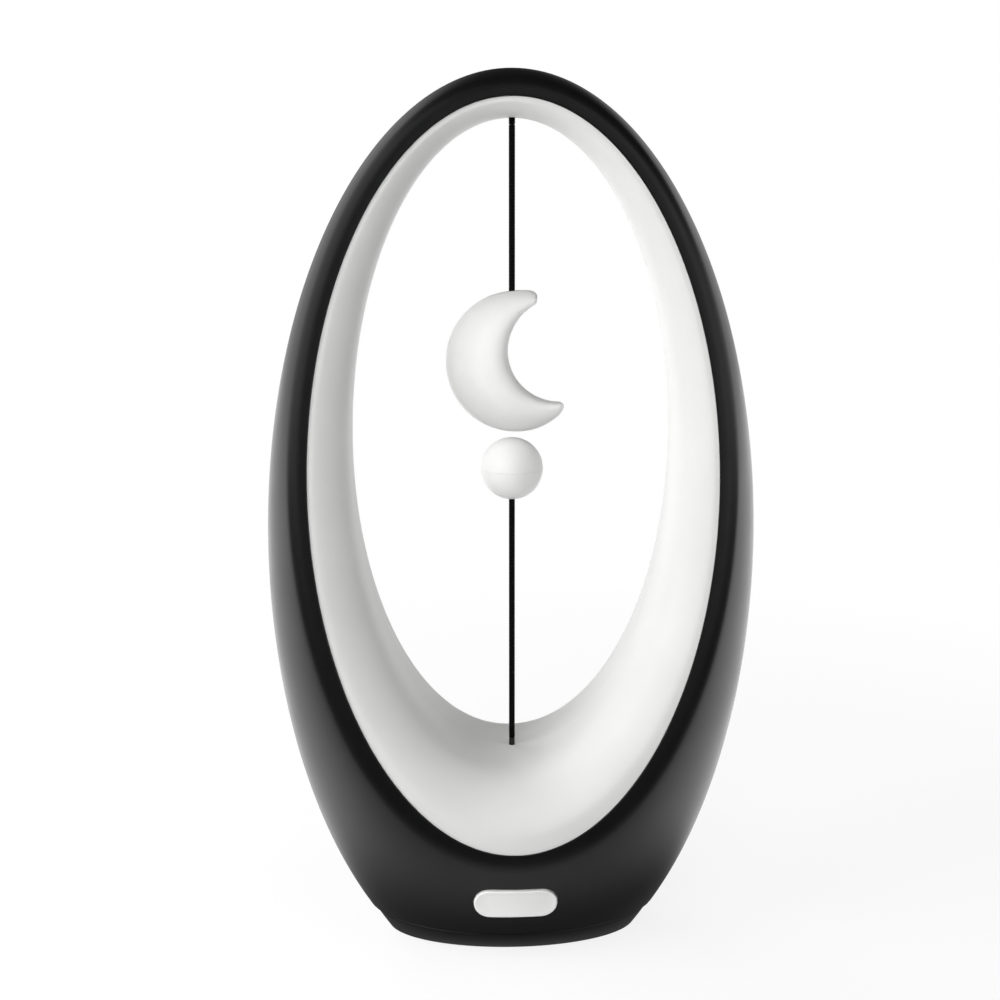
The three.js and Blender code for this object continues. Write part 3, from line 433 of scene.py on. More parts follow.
def select_only(piece):
    if bpy.context.object and bpy.context.object.mode != "OBJECT":
        bpy.ops.object.mode_set(mode="OBJECT")
    bpy.ops.object.select_all(action="DESELECT")
    piece.select_set(True)
    bpy.context.view_layer.objects.active = piece


def added(name):
    """The piece that was just added, with its place moved into its mesh"""
    piece = bpy.context.object
    piece.name = name
    piece.data.name = name
    bpy.ops.object.transform_apply(location=True, rotation=True, scale=True)
    return piece


def edit(piece, mode="VERT"):
    select_only(piece)
    bpy.ops.object.mode_set(mode="EDIT")
    bpy.ops.mesh.select_mode(type=mode)


def leave():
    bpy.ops.object.mode_set(mode="OBJECT")


def add_ring(name, ring, filled):
    """A circle with as many corners as the ring, which is then given the ring's places"""
    centre = sum(ring, Vector()) / len(ring)
    reach = max((corner - centre).length for corner in ring)
    bpy.ops.object.select_all(action="DESELECT")
    bpy.ops.mesh.primitive_circle_add(vertices=len(ring), radius=reach, location=centre,
                                      fill_type="NGON" if filled else "NOTHING")
    piece = added(name)
    edit(piece)
    mesh = bmesh.from_edit_mesh(piece.data)
    order = mesh.verts.layers.int.new(ORDER)
    for index, corner in enumerate(mesh.verts):
        corner[order] = index
        corner.co = ring[index]
    bpy.ops.mesh.select_all(action="SELECT")
    bmesh.update_edit_mesh(piece.data)
    return piece


def set_ring(piece, ring):
    mesh = bmesh.from_edit_mesh(piece.data)
    order = mesh.verts.layers.int[ORDER]
    for corner in mesh.verts:
        if corner.select:
            corner.co = ring[corner[order]]
    bmesh.update_edit_mesh(piece.data)


def loft(name, rings, closed=False):
    """Extrudes a ring from place to place. A closed one ends at its start, an open one is filled."""
    piece = add_ring(name, rings[0], filled=not closed)
    for ring in rings[1:] + (rings[:1] if closed else []):
        bpy.ops.mesh.extrude_region_move()
        set_ring(piece, ring)
    bpy.ops.mesh.select_all(action="SELECT")
    if closed:
        bpy.ops.mesh.remove_doubles(threshold=1e-7)
    bpy.ops.mesh.normals_make_consistent(inside=False)
    leave()
    drop_order(piece)
    return piece


def drop_order(piece):
    found = piece.data.attributes.get(ORDER)
    if found:
        piece.data.attributes.remove(found)


def twin(piece, name, offset=(0, 0, 0)):
    """A copy of a piece with its own mesh, moved by the offset"""
    copy = piece.copy()
    copy.data = piece.data.copy()
    copy.name = name
    bpy.context.collection.objects.link(copy)
    copy.data.transform(Matrix.Translation(offset))
    return copy


def slice_off(piece, point, normal):
    """Cuts the piece at a plane, takes away what lies behind it and closes the cut"""
    edit(piece)
    bpy.ops.mesh.select_all(action="SELECT")
    bpy.ops.mesh.bisect(plane_co=point, plane_no=normal, use_fill=True, clear_inner=True)
    leave()


def modify(piece, kind, **settings):
    """Adds a modifier to a piece and applies it"""
    select_only(piece)
    bpy.ops.object.modifier_add(type=kind)
    modifier = piece.modifiers[-1]
    for name, value in settings.items():
        setattr(modifier, name, value)
    bpy.ops.object.modifier_apply(modifier=modifier.name)


def take_out(piece, tool):
    """Cuts the tool's shape out of a piece and removes the tool"""
    modify(piece, "BOOLEAN", operation="DIFFERENCE", solver="EXACT", object=tool)
    bpy.data.objects.remove(tool, do_unlink=True)


def bevel_sharp(piece, width, segments, angle=40):
    modify(piece, "BEVEL", width=width, segments=segments, limit_method="ANGLE",
           angle_limit=math.radians(angle))


def hand_over(piece, slot, body, *nodes, angle=32):
    """Gives a finished piece its finish, smooth shading, its body and the solids it stands for"""
    select_only(piece)
    piece.data.materials.clear()
    piece.data.materials.append(finish_named(slot))
    bpy.ops.object.shade_smooth_by_angle(angle=math.radians(angle))
    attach(piece, body)
    if nodes:
        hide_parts(*nodes)


def bore(radius, bottom, top):
    """An upright cylinder that cuts a hole for a string"""
    bpy.ops.object.select_all(action="DESELECT")
    bpy.ops.mesh.primitive_cylinder_add(vertices=32, radius=radius, depth=top - bottom,
                                        location=(0, 0, (top + bottom) / 2))
    return added("bore")


def block(name, centre, size, turn=0):
    bpy.ops.object.select_all(action="DESELECT")
    bpy.ops.mesh.primitive_cube_add(size=1, location=centre, scale=size,
                                    rotation=(0, 0, math.radians(turn)))
    return added(name)


def tube(name, bottom, top, rows, around, radius):
    """An upright tube. Its radius depends on the angle and on the share of its height."""
    rings = []
    for row in range(rows + 1):
        part = row / rows
        ring = []
        for i in range(around):
            turn = 2 * math.pi * i / around
            reach = radius(turn, part)
            ring.append(Vector((reach * math.cos(turn), reach * math.sin(turn),
                                bottom + (top - bottom) * part)))
        rings.append(ring)
    return loft(name, rings)


def oval(half_width, half_depth, z, corners=120):
    return [Vector((half_width * math.cos(2 * math.pi * i / corners),
                    half_depth * math.sin(2 * math.pi * i / corners), z)) for i in range(corners)]


def pill(wide, tall, end, corners=24, straight=8):
    """Points round an outline with round ends, in X and Z about its middle"""
    points = []
    for way in (1, -1):
        for i in range(corners + 1):
            turn = math.pi * (i / corners - 0.5)
            points.append((way * (wide - end + end * math.cos(turn)), way * tall * math.sin(turn)))
        for i in range(1, straight):
            points.append((way * (wide - end) * (1 - 2 * i / straight), way * tall))
    return points


# Shapes of the hoop and the push button


def skin_depth(s, x, z):
    """How far in front of the middle plane the egg's skin lies"""
    half = s.egg_top - s.widest_height if z > s.widest_height else s.lower_half_height
    inside = 1 - (x / s.egg_half_width) ** 2 - ((z - s.widest_height) / half) ** 2
    return s.egg_half_depth * math.sqrt(max(inside, 0))


def ray_to_ellipse(start, way, half_width, half_height, centre):
    across = Vector((start.x / half_width, (start.y - centre) / half_height))
    step = Vector((way.x / half_width, way.y / half_height))
    a = step.dot(step)
    b = across.dot(step)
    root = math.sqrt(max(b * b - a * (across.dot(across) - 1), 0))
    return (-b - root) / a, (-b + root) / a


def hoop_station(s, degrees):
    """One cut through the hoop, square to the crease. Distances run outwards from the land's rim."""
    turn = math.radians(degrees)
    across, up = math.cos(turn), math.sin(turn)
    crease = Vector((s.crease_half_width * across, s.crease_centre + s.crease_half_height * up))
    out = Vector((across / s.crease_half_width, up / s.crease_half_height)).normalized()
    rim = crease - out * s.land_width
    upper = ray_to_ellipse(rim, out, s.egg_half_width, s.egg_top - s.widest_height, s.widest_height)[1]
    lower = ray_to_ellipse(rim, out, s.egg_half_width, s.lower_half_height, s.widest_height)[1]
    edge = upper if rim.y + out.y * upper > s.widest_height else lower
    waist = ray_to_ellipse(rim, -out, s.waist_half_width, s.waist_half_height, s.waist_centre)[0]
    high = (1 + up) / 2
    return SimpleNamespace(
        rim=rim, out=out, edge=edge, waist=waist,
        roundness=s.floor_roundness * (1 - high) + s.ceiling_roundness * high,
        fold=s.side_fold + (s.floor_fold - s.side_fold) * max(-up, 0) ** 3,
        depth=skin_depth(s, crease.x, crease.y),
    )


def spot(cut, distance, depth):
    return Vector((cut.rim.x + cut.out.x * distance, depth, cut.rim.y + cut.out.y * distance))


def walk(line, start, end, count):
    """Points spread evenly along a line, from start after its beginning to end before its end"""
    steps = [(b - a).length for a, b in zip(line, line[1:])]
    total = sum(steps)
    picked = []
    passed = 0.0
    index = 0
    for i in range(count):
        goal = start + (total - start - end) * i / (count - 1)
        while index < len(steps) - 1 and passed + steps[index] < goal:
            passed += steps[index]
            index += 1
        part = (goal - passed) / steps[index] if steps[index] else 0
        picked.append(line[index].lerp(line[index + 1], min(max(part, 0), 1)))
    return picked


def soft_corner(before, corner, after, steps):
    """The points of a round corner between two others, without those two"""
    made = []
    for i in range(1, steps):
        t = i / steps
        made.append(before * (1 - t) ** 2 + corner * 2 * t * (1 - t) + after * t ** 2)
    return made


def beside(line, wall):
    """A line moved sideways by a wall's thickness, to its left"""
    moved = []
    for i, point in enumerate(line):
        way = line[min(i + 1, len(line) - 1)] - line[max(i - 1, 0)]
        way.normalize()
        moved.append(point + Vector((-way.y, way.x)) * wall)
    return moved


def shell_skin(s, cut, steps=72):
    """From the middle plane over the egg's skin to the crease, as (distance, depth)"""
    line = []
    for i in range(steps + 1):
        r = s.land_width + (cut.edge - s.land_width) * math.sin((1 - i / steps) * math.pi / 2)
        x, _, z = spot(cut, r, 0)
        line.append(Vector((r, max(skin_depth(s, x, z), s.fit_gap / 2))))
    return line


def shell_section(s, cut):
    skin = shell_skin(s, cut)
    rim = Vector((0, cut.depth))
    crease = skin[-1]
    before = walk(skin, 0, s.crease_softness, 22)
    after = Vector((s.land_width - s.crease_softness, cut.depth))
    rim_start = Vector((s.rim_softness, cut.depth))
    rim_end = Vector((0, cut.depth - s.rim_softness))
    under = cut.depth - s.lip_thickness
    inside = walk(beside(skin, s.shell_wall), 0, 0, 14)
    inside[0].y = s.fit_gap / 2
    inner_end = Vector((s.rebate_width, cut.depth - s.shell_wall))
    return [
        *before, *soft_corner(before[-1], crease, after, 6), after,
        Vector((after.x / 2, cut.depth)), rim_start,
        *soft_corner(rim_start, rim, rim_end, 4), rim_end,
        Vector((0, under)), Vector((s.rebate_width, under)), inner_end,
        *reversed(inside),
    ]


def lining_section(s, cut):
    depth = cut.depth - s.lip_thickness - s.lip_gap
    line = []
    steps = 160
    for i in range(steps + 1):
        turn = (i / steps) * (math.pi / 2)
        y = max(depth * math.sin(turn) ** (2 / cut.roundness), s.fit_gap / 6)
        fall = s.joint_slope * y * (1 - y / depth) ** 2
        swell = math.cos(turn) ** (2 / s.face_roundness)
        line.append(Vector((fall - cut.fold - (cut.waist - cut.fold) * swell, y)))
    line.append(Vector((s.rebate_width - s.fit_gap, depth)))
    outside = walk(line, 0, 0, 40)
    inside = walk(beside(line, -s.lining_wall), 0, 0, 20)
    inside[0].y = s.fit_gap / 6
    return [*outside, *reversed(inside)]


def half_hoop(name, s, section, side, stations=240):
    rings = []
    for i in range(stations):
        cut = hoop_station(s, i / stations * 360 - 90)
        rings.append([spot(cut, point.x, side * point.y) for point in section(s, cut)])
    return loft(name, rings, closed=True)


def button_ring(s, grow, size, depth):
    """The button's outline, grown, scaled and laid at the depth of each of its points"""
    ring = []
    sides = (s.button_half_width, s.button_half_height, s.button_end_round)
    for x, z in pill(*(side + grow for side in sides)):
        at_x, at_z = x * size, s.button_height + z * size
        ring.append(Vector((at_x, depth(at_x, at_z), at_z)))
    return ring


# Operators


class LAMP_OT_finishes(bpy.types.Operator):
    """Makes the finishes and gives them to the solids that stay"""
    bl_idname = "lamp.finishes"
    bl_label = "Finishes"

    def execute(self, context):
        make_finishes()
        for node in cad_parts.values():
            for place in node.material_slots:
                if place.material:
                    place.material = finish_named(place.material.name.split(".")[0])
        return {"FINISHED"}


class LAMP_OT_camera(bpy.types.Operator):
    """Adds the camera at the photograph's viewing angle"""
    bl_idname = "lamp.camera"
    bl_label = "Camera"

    def execute(self, context):
        bearing = math.radians(2.18)
        downwards = math.radians(12.353)
        away = 0.37586
        height = 0.21137
        focal_pixels = 1373.7
        photo_width = 1000
        bpy.ops.object.camera_add(
            location=(-away * math.sin(bearing), -away * math.cos(bearing), height),
            rotation=(math.pi / 2 - downwards, 0, -bearing),
        )
        camera = bpy.context.object
        camera.name = "camera"
        camera.data.sensor_width = 36
        camera.data.lens = camera.data.sensor_width * focal_pixels / photo_width
        camera.data.shift_x = -0.0119
        camera.data.clip_start = 0.01
        camera.data.clip_end = 50
        context.scene.camera = camera
        return {"FINISHED"}


def braided_tube(name, s, top, bottom):
    """An upright braided string: strands wind both ways and pass over and under each other"""
    strands = 6
    dip = 0.07
    turns = (top - bottom) / s.braid_pitch

    def radius(turn, part):
        wind = 2 * math.pi * turns * part
        left = math.cos(strands * (turn - wind))
        right = math.cos(strands * (turn + wind))
        height = (max(left, right) * 0.5 + 0.5) ** 0.7
        return s.cord_radius * (1 - dip * (1 - height))

    rows = max(int((top - bottom) / (0.11 * MM)), 8)
    piece = tube(name, bottom, top, rows, 32, radius)
    strand = piece.data.attributes.new("strand", "FLOAT", "POINT")
    for vertex in piece.data.vertices:
        height = (vertex.co.xy.length / s.cord_radius - (1 - dip)) / dip
        strand.data[vertex.index].value = min(max(height, 0), 1)
    return piece


def whipping(name, s, bottom, top):
    """The tied end of a string: its own tail wound round it in tight turns"""
    turns, steps = 6, 8

    def radius(turn, part):
        ends = min(part, 1 - part) * turns
        wave = 0.5 + 0.5 * math.cos(2 * math.pi * part * turns - turn)
        return s.cord_radius * (0.93 + 0.1 * wave ** 0.6) * min(0.55 + ends * 0.9, 1.0)

    return tube(name, bottom, top, turns * steps, 24, radius)


class LAMP_OT_strings(bpy.types.Operator):
    """Models the two braided strings and the knots at their ends"""
    bl_idname = "lamp.strings"
    bl_label = "Strings"

    KNOTS = (("lower_knot", "lower_tie"), ("ball_knot", "ball"), ("upper_knot", "upper_tie"),
             ("moon_knot", "upper_string"))

    def execute(self, context):
        s = sizes()
        self.string(s, "lower_string", "lower_cord", "ball", "taut", upwards=True)
        self.string(s, "upper_string", "upper_cord", "upper_string", "hanging", upwards=False)
        for node, body in self.KNOTS:
            low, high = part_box(node)
            piece = whipping("tied_" + node, s, low.z - s.fit_gap, high.z + s.fit_gap)
            hand_over(piece, "cord_black", body, node, angle=60)
        return {"FINISHED"}

    def string(self, s, name, node, body, lay, upwards):
        low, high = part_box(node)
        piece = braided_tube(name, s, high.z, low.z)
        hand_over(piece, "cord_black", body, node, angle=60)


class LAMP_OT_shells(bpy.types.Operator):
    """Models the black shells of the hoop"""
    bl_idname = "lamp.shells"
    bl_label = "Hoop shells"

    def execute(self, context):
        s = sizes()
        bottom = s.seam_height + s.fit_gap
        for side, place in HALVES:
            shell = half_hoop("hoop_shell_" + place, s, shell_section, side)
            slice_off(shell, (0, 0, bottom), (0, 0, 1))
            if side < 0:
                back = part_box("main_board")[0].y - 0.6 * MM
                hole = loft("button_hole", [
                    button_ring(s, s.button_gap, 1, lambda x, z: -s.egg_half_depth),
                    button_ring(s, s.button_gap, 1, lambda x, z: back),
                ])
                take_out(shell, hole)
            hand_over(shell, "shell_black", "stand", place + "_shell")
        return {"FINISHED"}


class LAMP_OT_lining(bpy.types.Operator):
    """Models the two halves of the white lining"""
    bl_idname = "lamp.lining"
    bl_label = "Lining"

    def execute(self, context):
        s = sizes()
        floor = s.waist_centre - s.waist_half_height
        ceiling = s.waist_centre + s.waist_half_height
        reach = 4 * MM
        for side, place in HALVES:
            lining = half_hoop("lining_" + place, s, lining_section, side)
            for height, gap in ((floor, 0.15 * MM), (ceiling, 0.4 * MM)):
                take_out(lining, bore(s.cord_radius + gap, height - reach, height + reach))
            hand_over(lining, "lining_white", "stand", place + "_diffuser")
        return {"FINISHED"}


def foot_ring(s, z, inset, corners=120):
    """The foot's outline at a height"""
    seam = math.sqrt(1 - ((s.seam_height - s.widest_height) / s.lower_half_height) ** 2)
    wide = s.egg_half_width * seam - s.foot_setback
    deep = s.egg_half_depth * seam - s.foot_setback / 3
    down = (s.seam_height - z) / s.seam_height
    curled = (1 - s.foot_curl) * down + s.foot_curl * down * abs(down)
    half_width = wide - (wide - s.foot_half_width) * down - inset
    half_depth = deep - (deep - s.foot_half_depth) * curled - inset
    return oval(half_width, half_depth, z, corners)


class LAMP_OT_foot(bpy.types.Operator):
    """Models the foot's bowl and its rubber pad"""
    bl_idname = "lamp.foot"
    bl_label = "Foot"

    def execute(self, context):
        s = sizes()
        top = s.seam_height - s.fit_gap / 2
        bottom = s.pad_recess
        floor = 3.7 * MM
        soft = 0.35 * MM
        brow = 0.55 * MM
        levels = 16
        rings = [foot_ring(s, bottom, soft * 1.6), foot_ring(s, bottom + soft * 0.3, soft * 0.6)]
        rings += [foot_ring(s, bottom + soft + (top - bottom - soft - brow) * i / levels, 0)
                  for i in range(levels + 1)]
        for turn in (30, 60, 90):
            angle = math.radians(turn)
            rings.append(foot_ring(s, top - brow * (1 - math.sin(angle)), brow * (1 - math.cos(angle))))
        rings.append(foot_ring(s, top, s.shell_wall))
        rings += [foot_ring(s, top + (floor - top) * i / 5, s.shell_wall) for i in range(1, 6)]
        bowl = loft("foot_bowl", rings)
        pad_low, pad_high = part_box("foot_pad")
        recess = loft("pad_recess", [
            oval(pad_high.x + s.fit_gap, pad_high.y + s.fit_gap, -MM),
            oval(pad_high.x + s.fit_gap, pad_high.y + s.fit_gap, pad_high.z + s.fit_gap),
        ])
        take_out(bowl, recess)
        hand_over(bowl, "shell_black", "stand", "base_cover")
        self.pad(pad_low, pad_high)
        return {"FINISHED"}

    def pad(self, low, high):
        groove = 0.3 * MM
        outline = [(0, high.z), (0, low.z + groove), (groove / 3, low.z + groove / 3), (groove, low.z)]
        for inset in (2 * MM, 4.5 * MM, 7 * MM):
            outline += [(inset, low.z), (inset + groove, low.z + groove),
                        (inset + 3 * groove, low.z + groove), (inset + 4 * groove, low.z)]
        pad = loft("foot_pad_ribbed", [oval(high.x - inset, high.y - inset, z) for inset, z in outline])
        hand_over(pad, "pad_rubber", "stand", "foot_pad")


class LAMP_OT_button(bpy.types.Operator):
    """Models the white push button"""
    bl_idname = "lamp.button"
    bl_label = "Push button"

    def execute(self, context):
        s = sizes()
        flange_gap = 0.7 * MM
        flange_width = MM
        stem_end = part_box("mode_button")[1].y

        def raised(share):
            return lambda x, z: -skin_depth(s, x, z) - s.button_proud * share

        def flange(x, z):
            return -skin_depth(s, x, z) + s.shell_wall * 1.06 + flange_gap

        def flange_back(x, z):
            return flange(x, z) + flange_width

        dish = [(0.03, 0.74), (0.5, 0.74), (1, 0.75)]
        edge = [(2.9, 0.76), (2.2, 0.79), (1.6, 0.83), (1.1, 0.89), (0.75, 0.95), (0.5, 0.99),
                (0.34, 1), (0.2, 0.97), (0.1, 0.90), (0.03, 0.78), (0, 0.62)]
        rings = [button_ring(s, -3.6 * MM, size, raised(rise)) for size, rise in dish]
        rings += [button_ring(s, -inset * MM, 1, raised(rise)) for inset, rise in edge]
        rings += [
            button_ring(s, 0, 1, flange), button_ring(s, flange_width, 1, flange),
            button_ring(s, flange_width, 1, flange_back), button_ring(s, 0, 0.25, flange_back),
            button_ring(s, 0, 0.25, lambda x, z: stem_end),
        ]
        hand_over(loft("push_button", rings), "button_white", "button", "mode_button")
        return {"FINISHED"}


class LAMP_OT_ball(bpy.types.Operator):
    """Models the ball's two halves, with a fine groove between them"""
    bl_idname = "lamp.ball"
    bl_label = "Ball"

    def execute(self, context):
        s = sizes()
        steps = 40
        groove = 0.05 * MM
        gap = 0.02 * MM
        start = math.asin(gap * 2 / s.ball_radius)
        knot_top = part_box("ball_knot")[1].z
        for way, place in ((-1, "lower"), (1, "upper")):
            profile = [(s.ball_radius - 2 * groove, gap), (s.ball_radius - groove, gap)]
            for i in range(steps):
                turn = start + (math.pi / 2 - start) * i / steps
                profile.append((s.ball_radius * math.cos(turn), s.ball_radius * math.sin(turn)))
            profile.append((0.02 * MM, s.ball_radius))
            half = loft("ball_cap_" + place, [
                oval(radius, radius, s.ball_centre + way * rise, 96) for radius, rise in profile])
            if way < 0:
                below = s.ball_centre - 2 * s.ball_radius
                take_out(half, bore(s.cord_radius + s.fit_gap, below, knot_top + 0.05 * MM))
            hand_over(half, "ball_white", "ball", "ball_" + place)
        return {"FINISHED"}


class LAMP_OT_moon(bpy.types.Operator):
    """Models the crescent moon's two halves"""
    bl_idname = "lamp.moon"
    bl_label = "Moon"

    def execute(self, context):
        s = sizes()
        surface = s.moon_centre + math.sqrt(s.moon_radius ** 2 - s.moon_shift ** 2)
        reach = 5 * MM
        whole = loft("moon_cap_front", self.rings(s))
        rear = twin(whole, "moon_cap_rear")
        for side, place, half in ((-1, "front", whole), (1, "rear", rear)):
            slice_off(half, (0, side * 0.02 * MM, 0), (0, side, 0))
            take_out(half, bore(s.cord_radius + 0.15 * MM, surface - reach, surface + reach))
            hand_over(half, "moon_white", "moon", "moon_" + place)
        return {"FINISHED"}

    def stations(self):
        """Angle, size and slant of each cut through the moon. The blunt tips shrink to their ends."""
        upper, upper_end, upper_tilt = 119.3, 113.7, -2.1
        lower, lower_end, lower_tilt = 266.6, 274.2, -1.4
        steps = 92
        fade = 16

        body = []
        for i in range(steps + 1):
            degrees = upper + (lower - upper) * i / steps
            near_upper = max(1 - (degrees - upper) / fade, 0)
            near_lower = max(1 - (lower - degrees) / fade, 0)
            body.append((degrees, 1, upper_tilt * near_upper ** 2 + lower_tilt * near_lower ** 2))
        upper_tip = self.tip(upper, upper_end, 3.0, upper_tilt)
        return [*reversed(upper_tip), *body, *self.tip(lower, lower_end, 2.3, lower_tilt)]

    def tip(self, shoulder, end, fullness, tilt):
        steps = 14
        last = 84
        stations = []
        for i in range(1, steps + 1):
            turn = math.radians(last * i / steps)
            stations.append((shoulder + (end - shoulder) * math.sin(turn) ** (2 / fullness),
                             math.cos(turn) ** (2 / fullness), tilt))
        return stations

    def rings(self, s):
        hollow = Vector((s.moon_shift + s.hollow_shift, s.moon_centre + s.hollow_rise))
        start = Vector((s.hollow_shift, s.hollow_rise))
        widest = s.moon_radius + start.length - s.hollow_radius
        rings = []
        around = 64
        for degrees, size, tilt in self.stations():
            turn = math.radians(degrees)
            way = Vector((math.cos(turn), math.sin(turn)))
            outer = ray_to_ellipse(start, way, s.moon_radius, s.moon_radius, 0)[1]
            width = outer - s.hollow_radius
            centre = (outer + s.hollow_radius) / 2
            thick = s.tip_thickness + (s.moon_thickness - s.tip_thickness) * min(width / widest, 1)
            ring = []
            for i in range(around):
                angle = 2 * math.pi * (i + 0.5) / around
                across = size * (math.cos(angle) - s.ridge * math.sin(angle) ** 2)
                crown = size * thick / 2 * math.copysign(abs(math.sin(angle)) ** 0.86, math.sin(angle))
                reach = centre + across * width / 2
                slanted = math.radians(degrees + tilt * across)
                ring.append(Vector((hollow.x + math.cos(slanted) * reach, crown,
                                    hollow.y + math.sin(slanted) * reach)))
            rings.append(ring)
        return rings


class LAMP_OT_socket(bpy.types.Operator):
    """Models the power socket and cuts its mouth into the rear shell"""
    bl_idname = "lamp.socket"
    bl_label = "Power socket"

    def execute(self, context):
        s = sizes()
        low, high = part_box("usb_shell")
        middle_z = (low.z + high.z) / 2
        tall = (high.z - low.z) / 2
        wide = high.x
        wall = 0.35 * MM
        mouth = self.outline(wide + s.fit_gap, tall + s.fit_gap, middle_z)
        cutter = loft("socket_mouth", [mouth(low.y), mouth(s.egg_half_depth)])
        take_out(bpy.data.objects["hoop_shell_rear"], cutter)
        outside = self.outline(wide, tall, middle_z)
        inside = self.outline(wide - wall, tall - wall, middle_z)
        lip = self.outline(wide - wall / 2, tall - wall / 2, middle_z)
        sleeve = loft("socket_sleeve", [
            outside(low.y), outside(high.y - 0.08 * MM), lip(high.y), inside(high.y - 0.1 * MM),
            inside(low.y + wall),
        ])
        hand_over(sleeve, "steel", "stand", "usb_shell")
        self.tongue()
        return {"FINISHED"}

    def outline(self, wide, tall, middle_z):
        points = pill(wide, tall, tall, corners=16, straight=1)
        return lambda y: [Vector((x, y, middle_z + z)) for x, z in points]

    def tongue(self):
        low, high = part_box("usb_tongue")
        centre = (low + high) / 2
        half_width = 3.3 * MM
        thick = 0.35 * MM
        blade = block("socket_tongue", centre, (2 * half_width, high.y - low.y, 2 * thick))
        bevel_sharp(blade, 0.12 * MM, 2)
        hand_over(blade, "part_black", "stand", "usb_tongue")
        contacts, pitch = 8, 0.765 * MM
        start = -(contacts - 1) / 2 * pitch
        first = self.contact(start, low.y + MM, high.y - 0.3 * MM, centre.z + thick)
        above = [first] + [twin(first, "contact", (pitch * i, 0, 0)) for i in range(1, contacts)]
        below = [twin(contact, "contact", (0, 0, -2 * thick)) for contact in above]
        bpy.ops.object.select_all(action="DESELECT")
        for contact in above + below:
            contact.select_set(True)
        bpy.context.view_layer.objects.active = first
        bpy.ops.object.join()
        hand_over(first, "magnet", "stand")

    def contact(self, x, front, back, z):
        centre = (x, (front + back) / 2, z)
        piece = block("socket_contacts", centre, (0.35 * MM, back - front, 0.08 * MM))
        bevel_sharp(piece, 0.02 * MM, 1)
        return piece


class LAMP_OT_screws(bpy.types.Operator):
    """Models the screws of the foot, with a cross recess in each head"""
    bl_idname = "lamp.screws"
    bl_label = "Screws"

    def execute(self, context):
        first = self.screw("base_screw_1")
        centre = self.centre("base_screw_1")
        for index in (2, 3, 4):
            node = "base_screw_" + str(index)
            screw = twin(first, "foot_" + node, self.centre(node) - centre)
            hand_over(screw, "steel", "stand", node)
        hand_over(first, "steel", "stand", "base_screw_1")
        return {"FINISHED"}

    def centre(self, node):
        low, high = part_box(node)
        return (low + high) / 2

    def screw(self, node):
        low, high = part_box(node)
        centre = self.centre(node)
        head, shank, height = 1.9 * MM, 1 * MM, 1.2 * MM
        plain = 1.5 * MM
        seat = low.z + height
        profile = [
            (head * 0.35, low.z), (head * 0.7, low.z + 0.05 * MM), (head * 0.9, low.z + 0.22 * MM),
            (head, low.z + 0.5 * MM), (head, seat), (shank, seat),
        ]
        steps = 18
        for i in range(steps):
            z = seat + plain + (high.z - seat - 2 * plain) * i / steps
            profile.append((shank * (1.0 if i % 2 else 0.78), z))
        profile += [(shank * 0.7, high.z - 0.8 * MM), (0.1 * MM, high.z)]
        place = Vector((centre.x, centre.y, 0))
        screw = loft("foot_" + node, [
            [corner + place for corner in oval(radius, radius, z, 28)] for radius, z in profile])
        for turn in (20, 110):
            recess = (2.2 * MM, 0.5 * MM, 1.1 * MM)
            take_out(screw, block("recess", (centre.x, centre.y, low.z), recess, turn))
        return screw


class LAMP_OT_spring(bpy.types.Operator):
    """Models the return spring with round wire and closed end turns"""
    bl_idname = "lamp.spring"
    bl_label = "Return spring"

    def execute(self, context):
        low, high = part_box("return_spring")
        wire = 0.3 * MM
        reach = high.x - wire
        turns, steps, around = 9, 28, 10
        closed = 0.11
        first, last = low.z + wire, high.z - wire
        rings = []
        count = turns * steps
        for i in range(count + 1):
            turn = 2 * math.pi * i / steps
            part = i / count
            eased = min(max((part - closed) / (1 - 2 * closed), 0), 1)
            ends = min(part / closed, 1) + max((part - 1 + closed) / closed, 0)
            z = first + (last - first) * (0.92 * eased + 0.04 * ends)
            ring = []
            for k in range(around):
                angle = 2 * math.pi * k / around
                radius = reach + wire * math.cos(angle)
                ring.append(Vector((radius * math.cos(turn), radius * math.sin(turn),
                                    z + wire * math.sin(angle))))
            rings.append(ring)
        spring = loft("coiled_spring", rings)
        hand_over(spring, "steel", "stand", "return_spring", angle=60)
        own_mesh(spring)
        return {"FINISHED"}


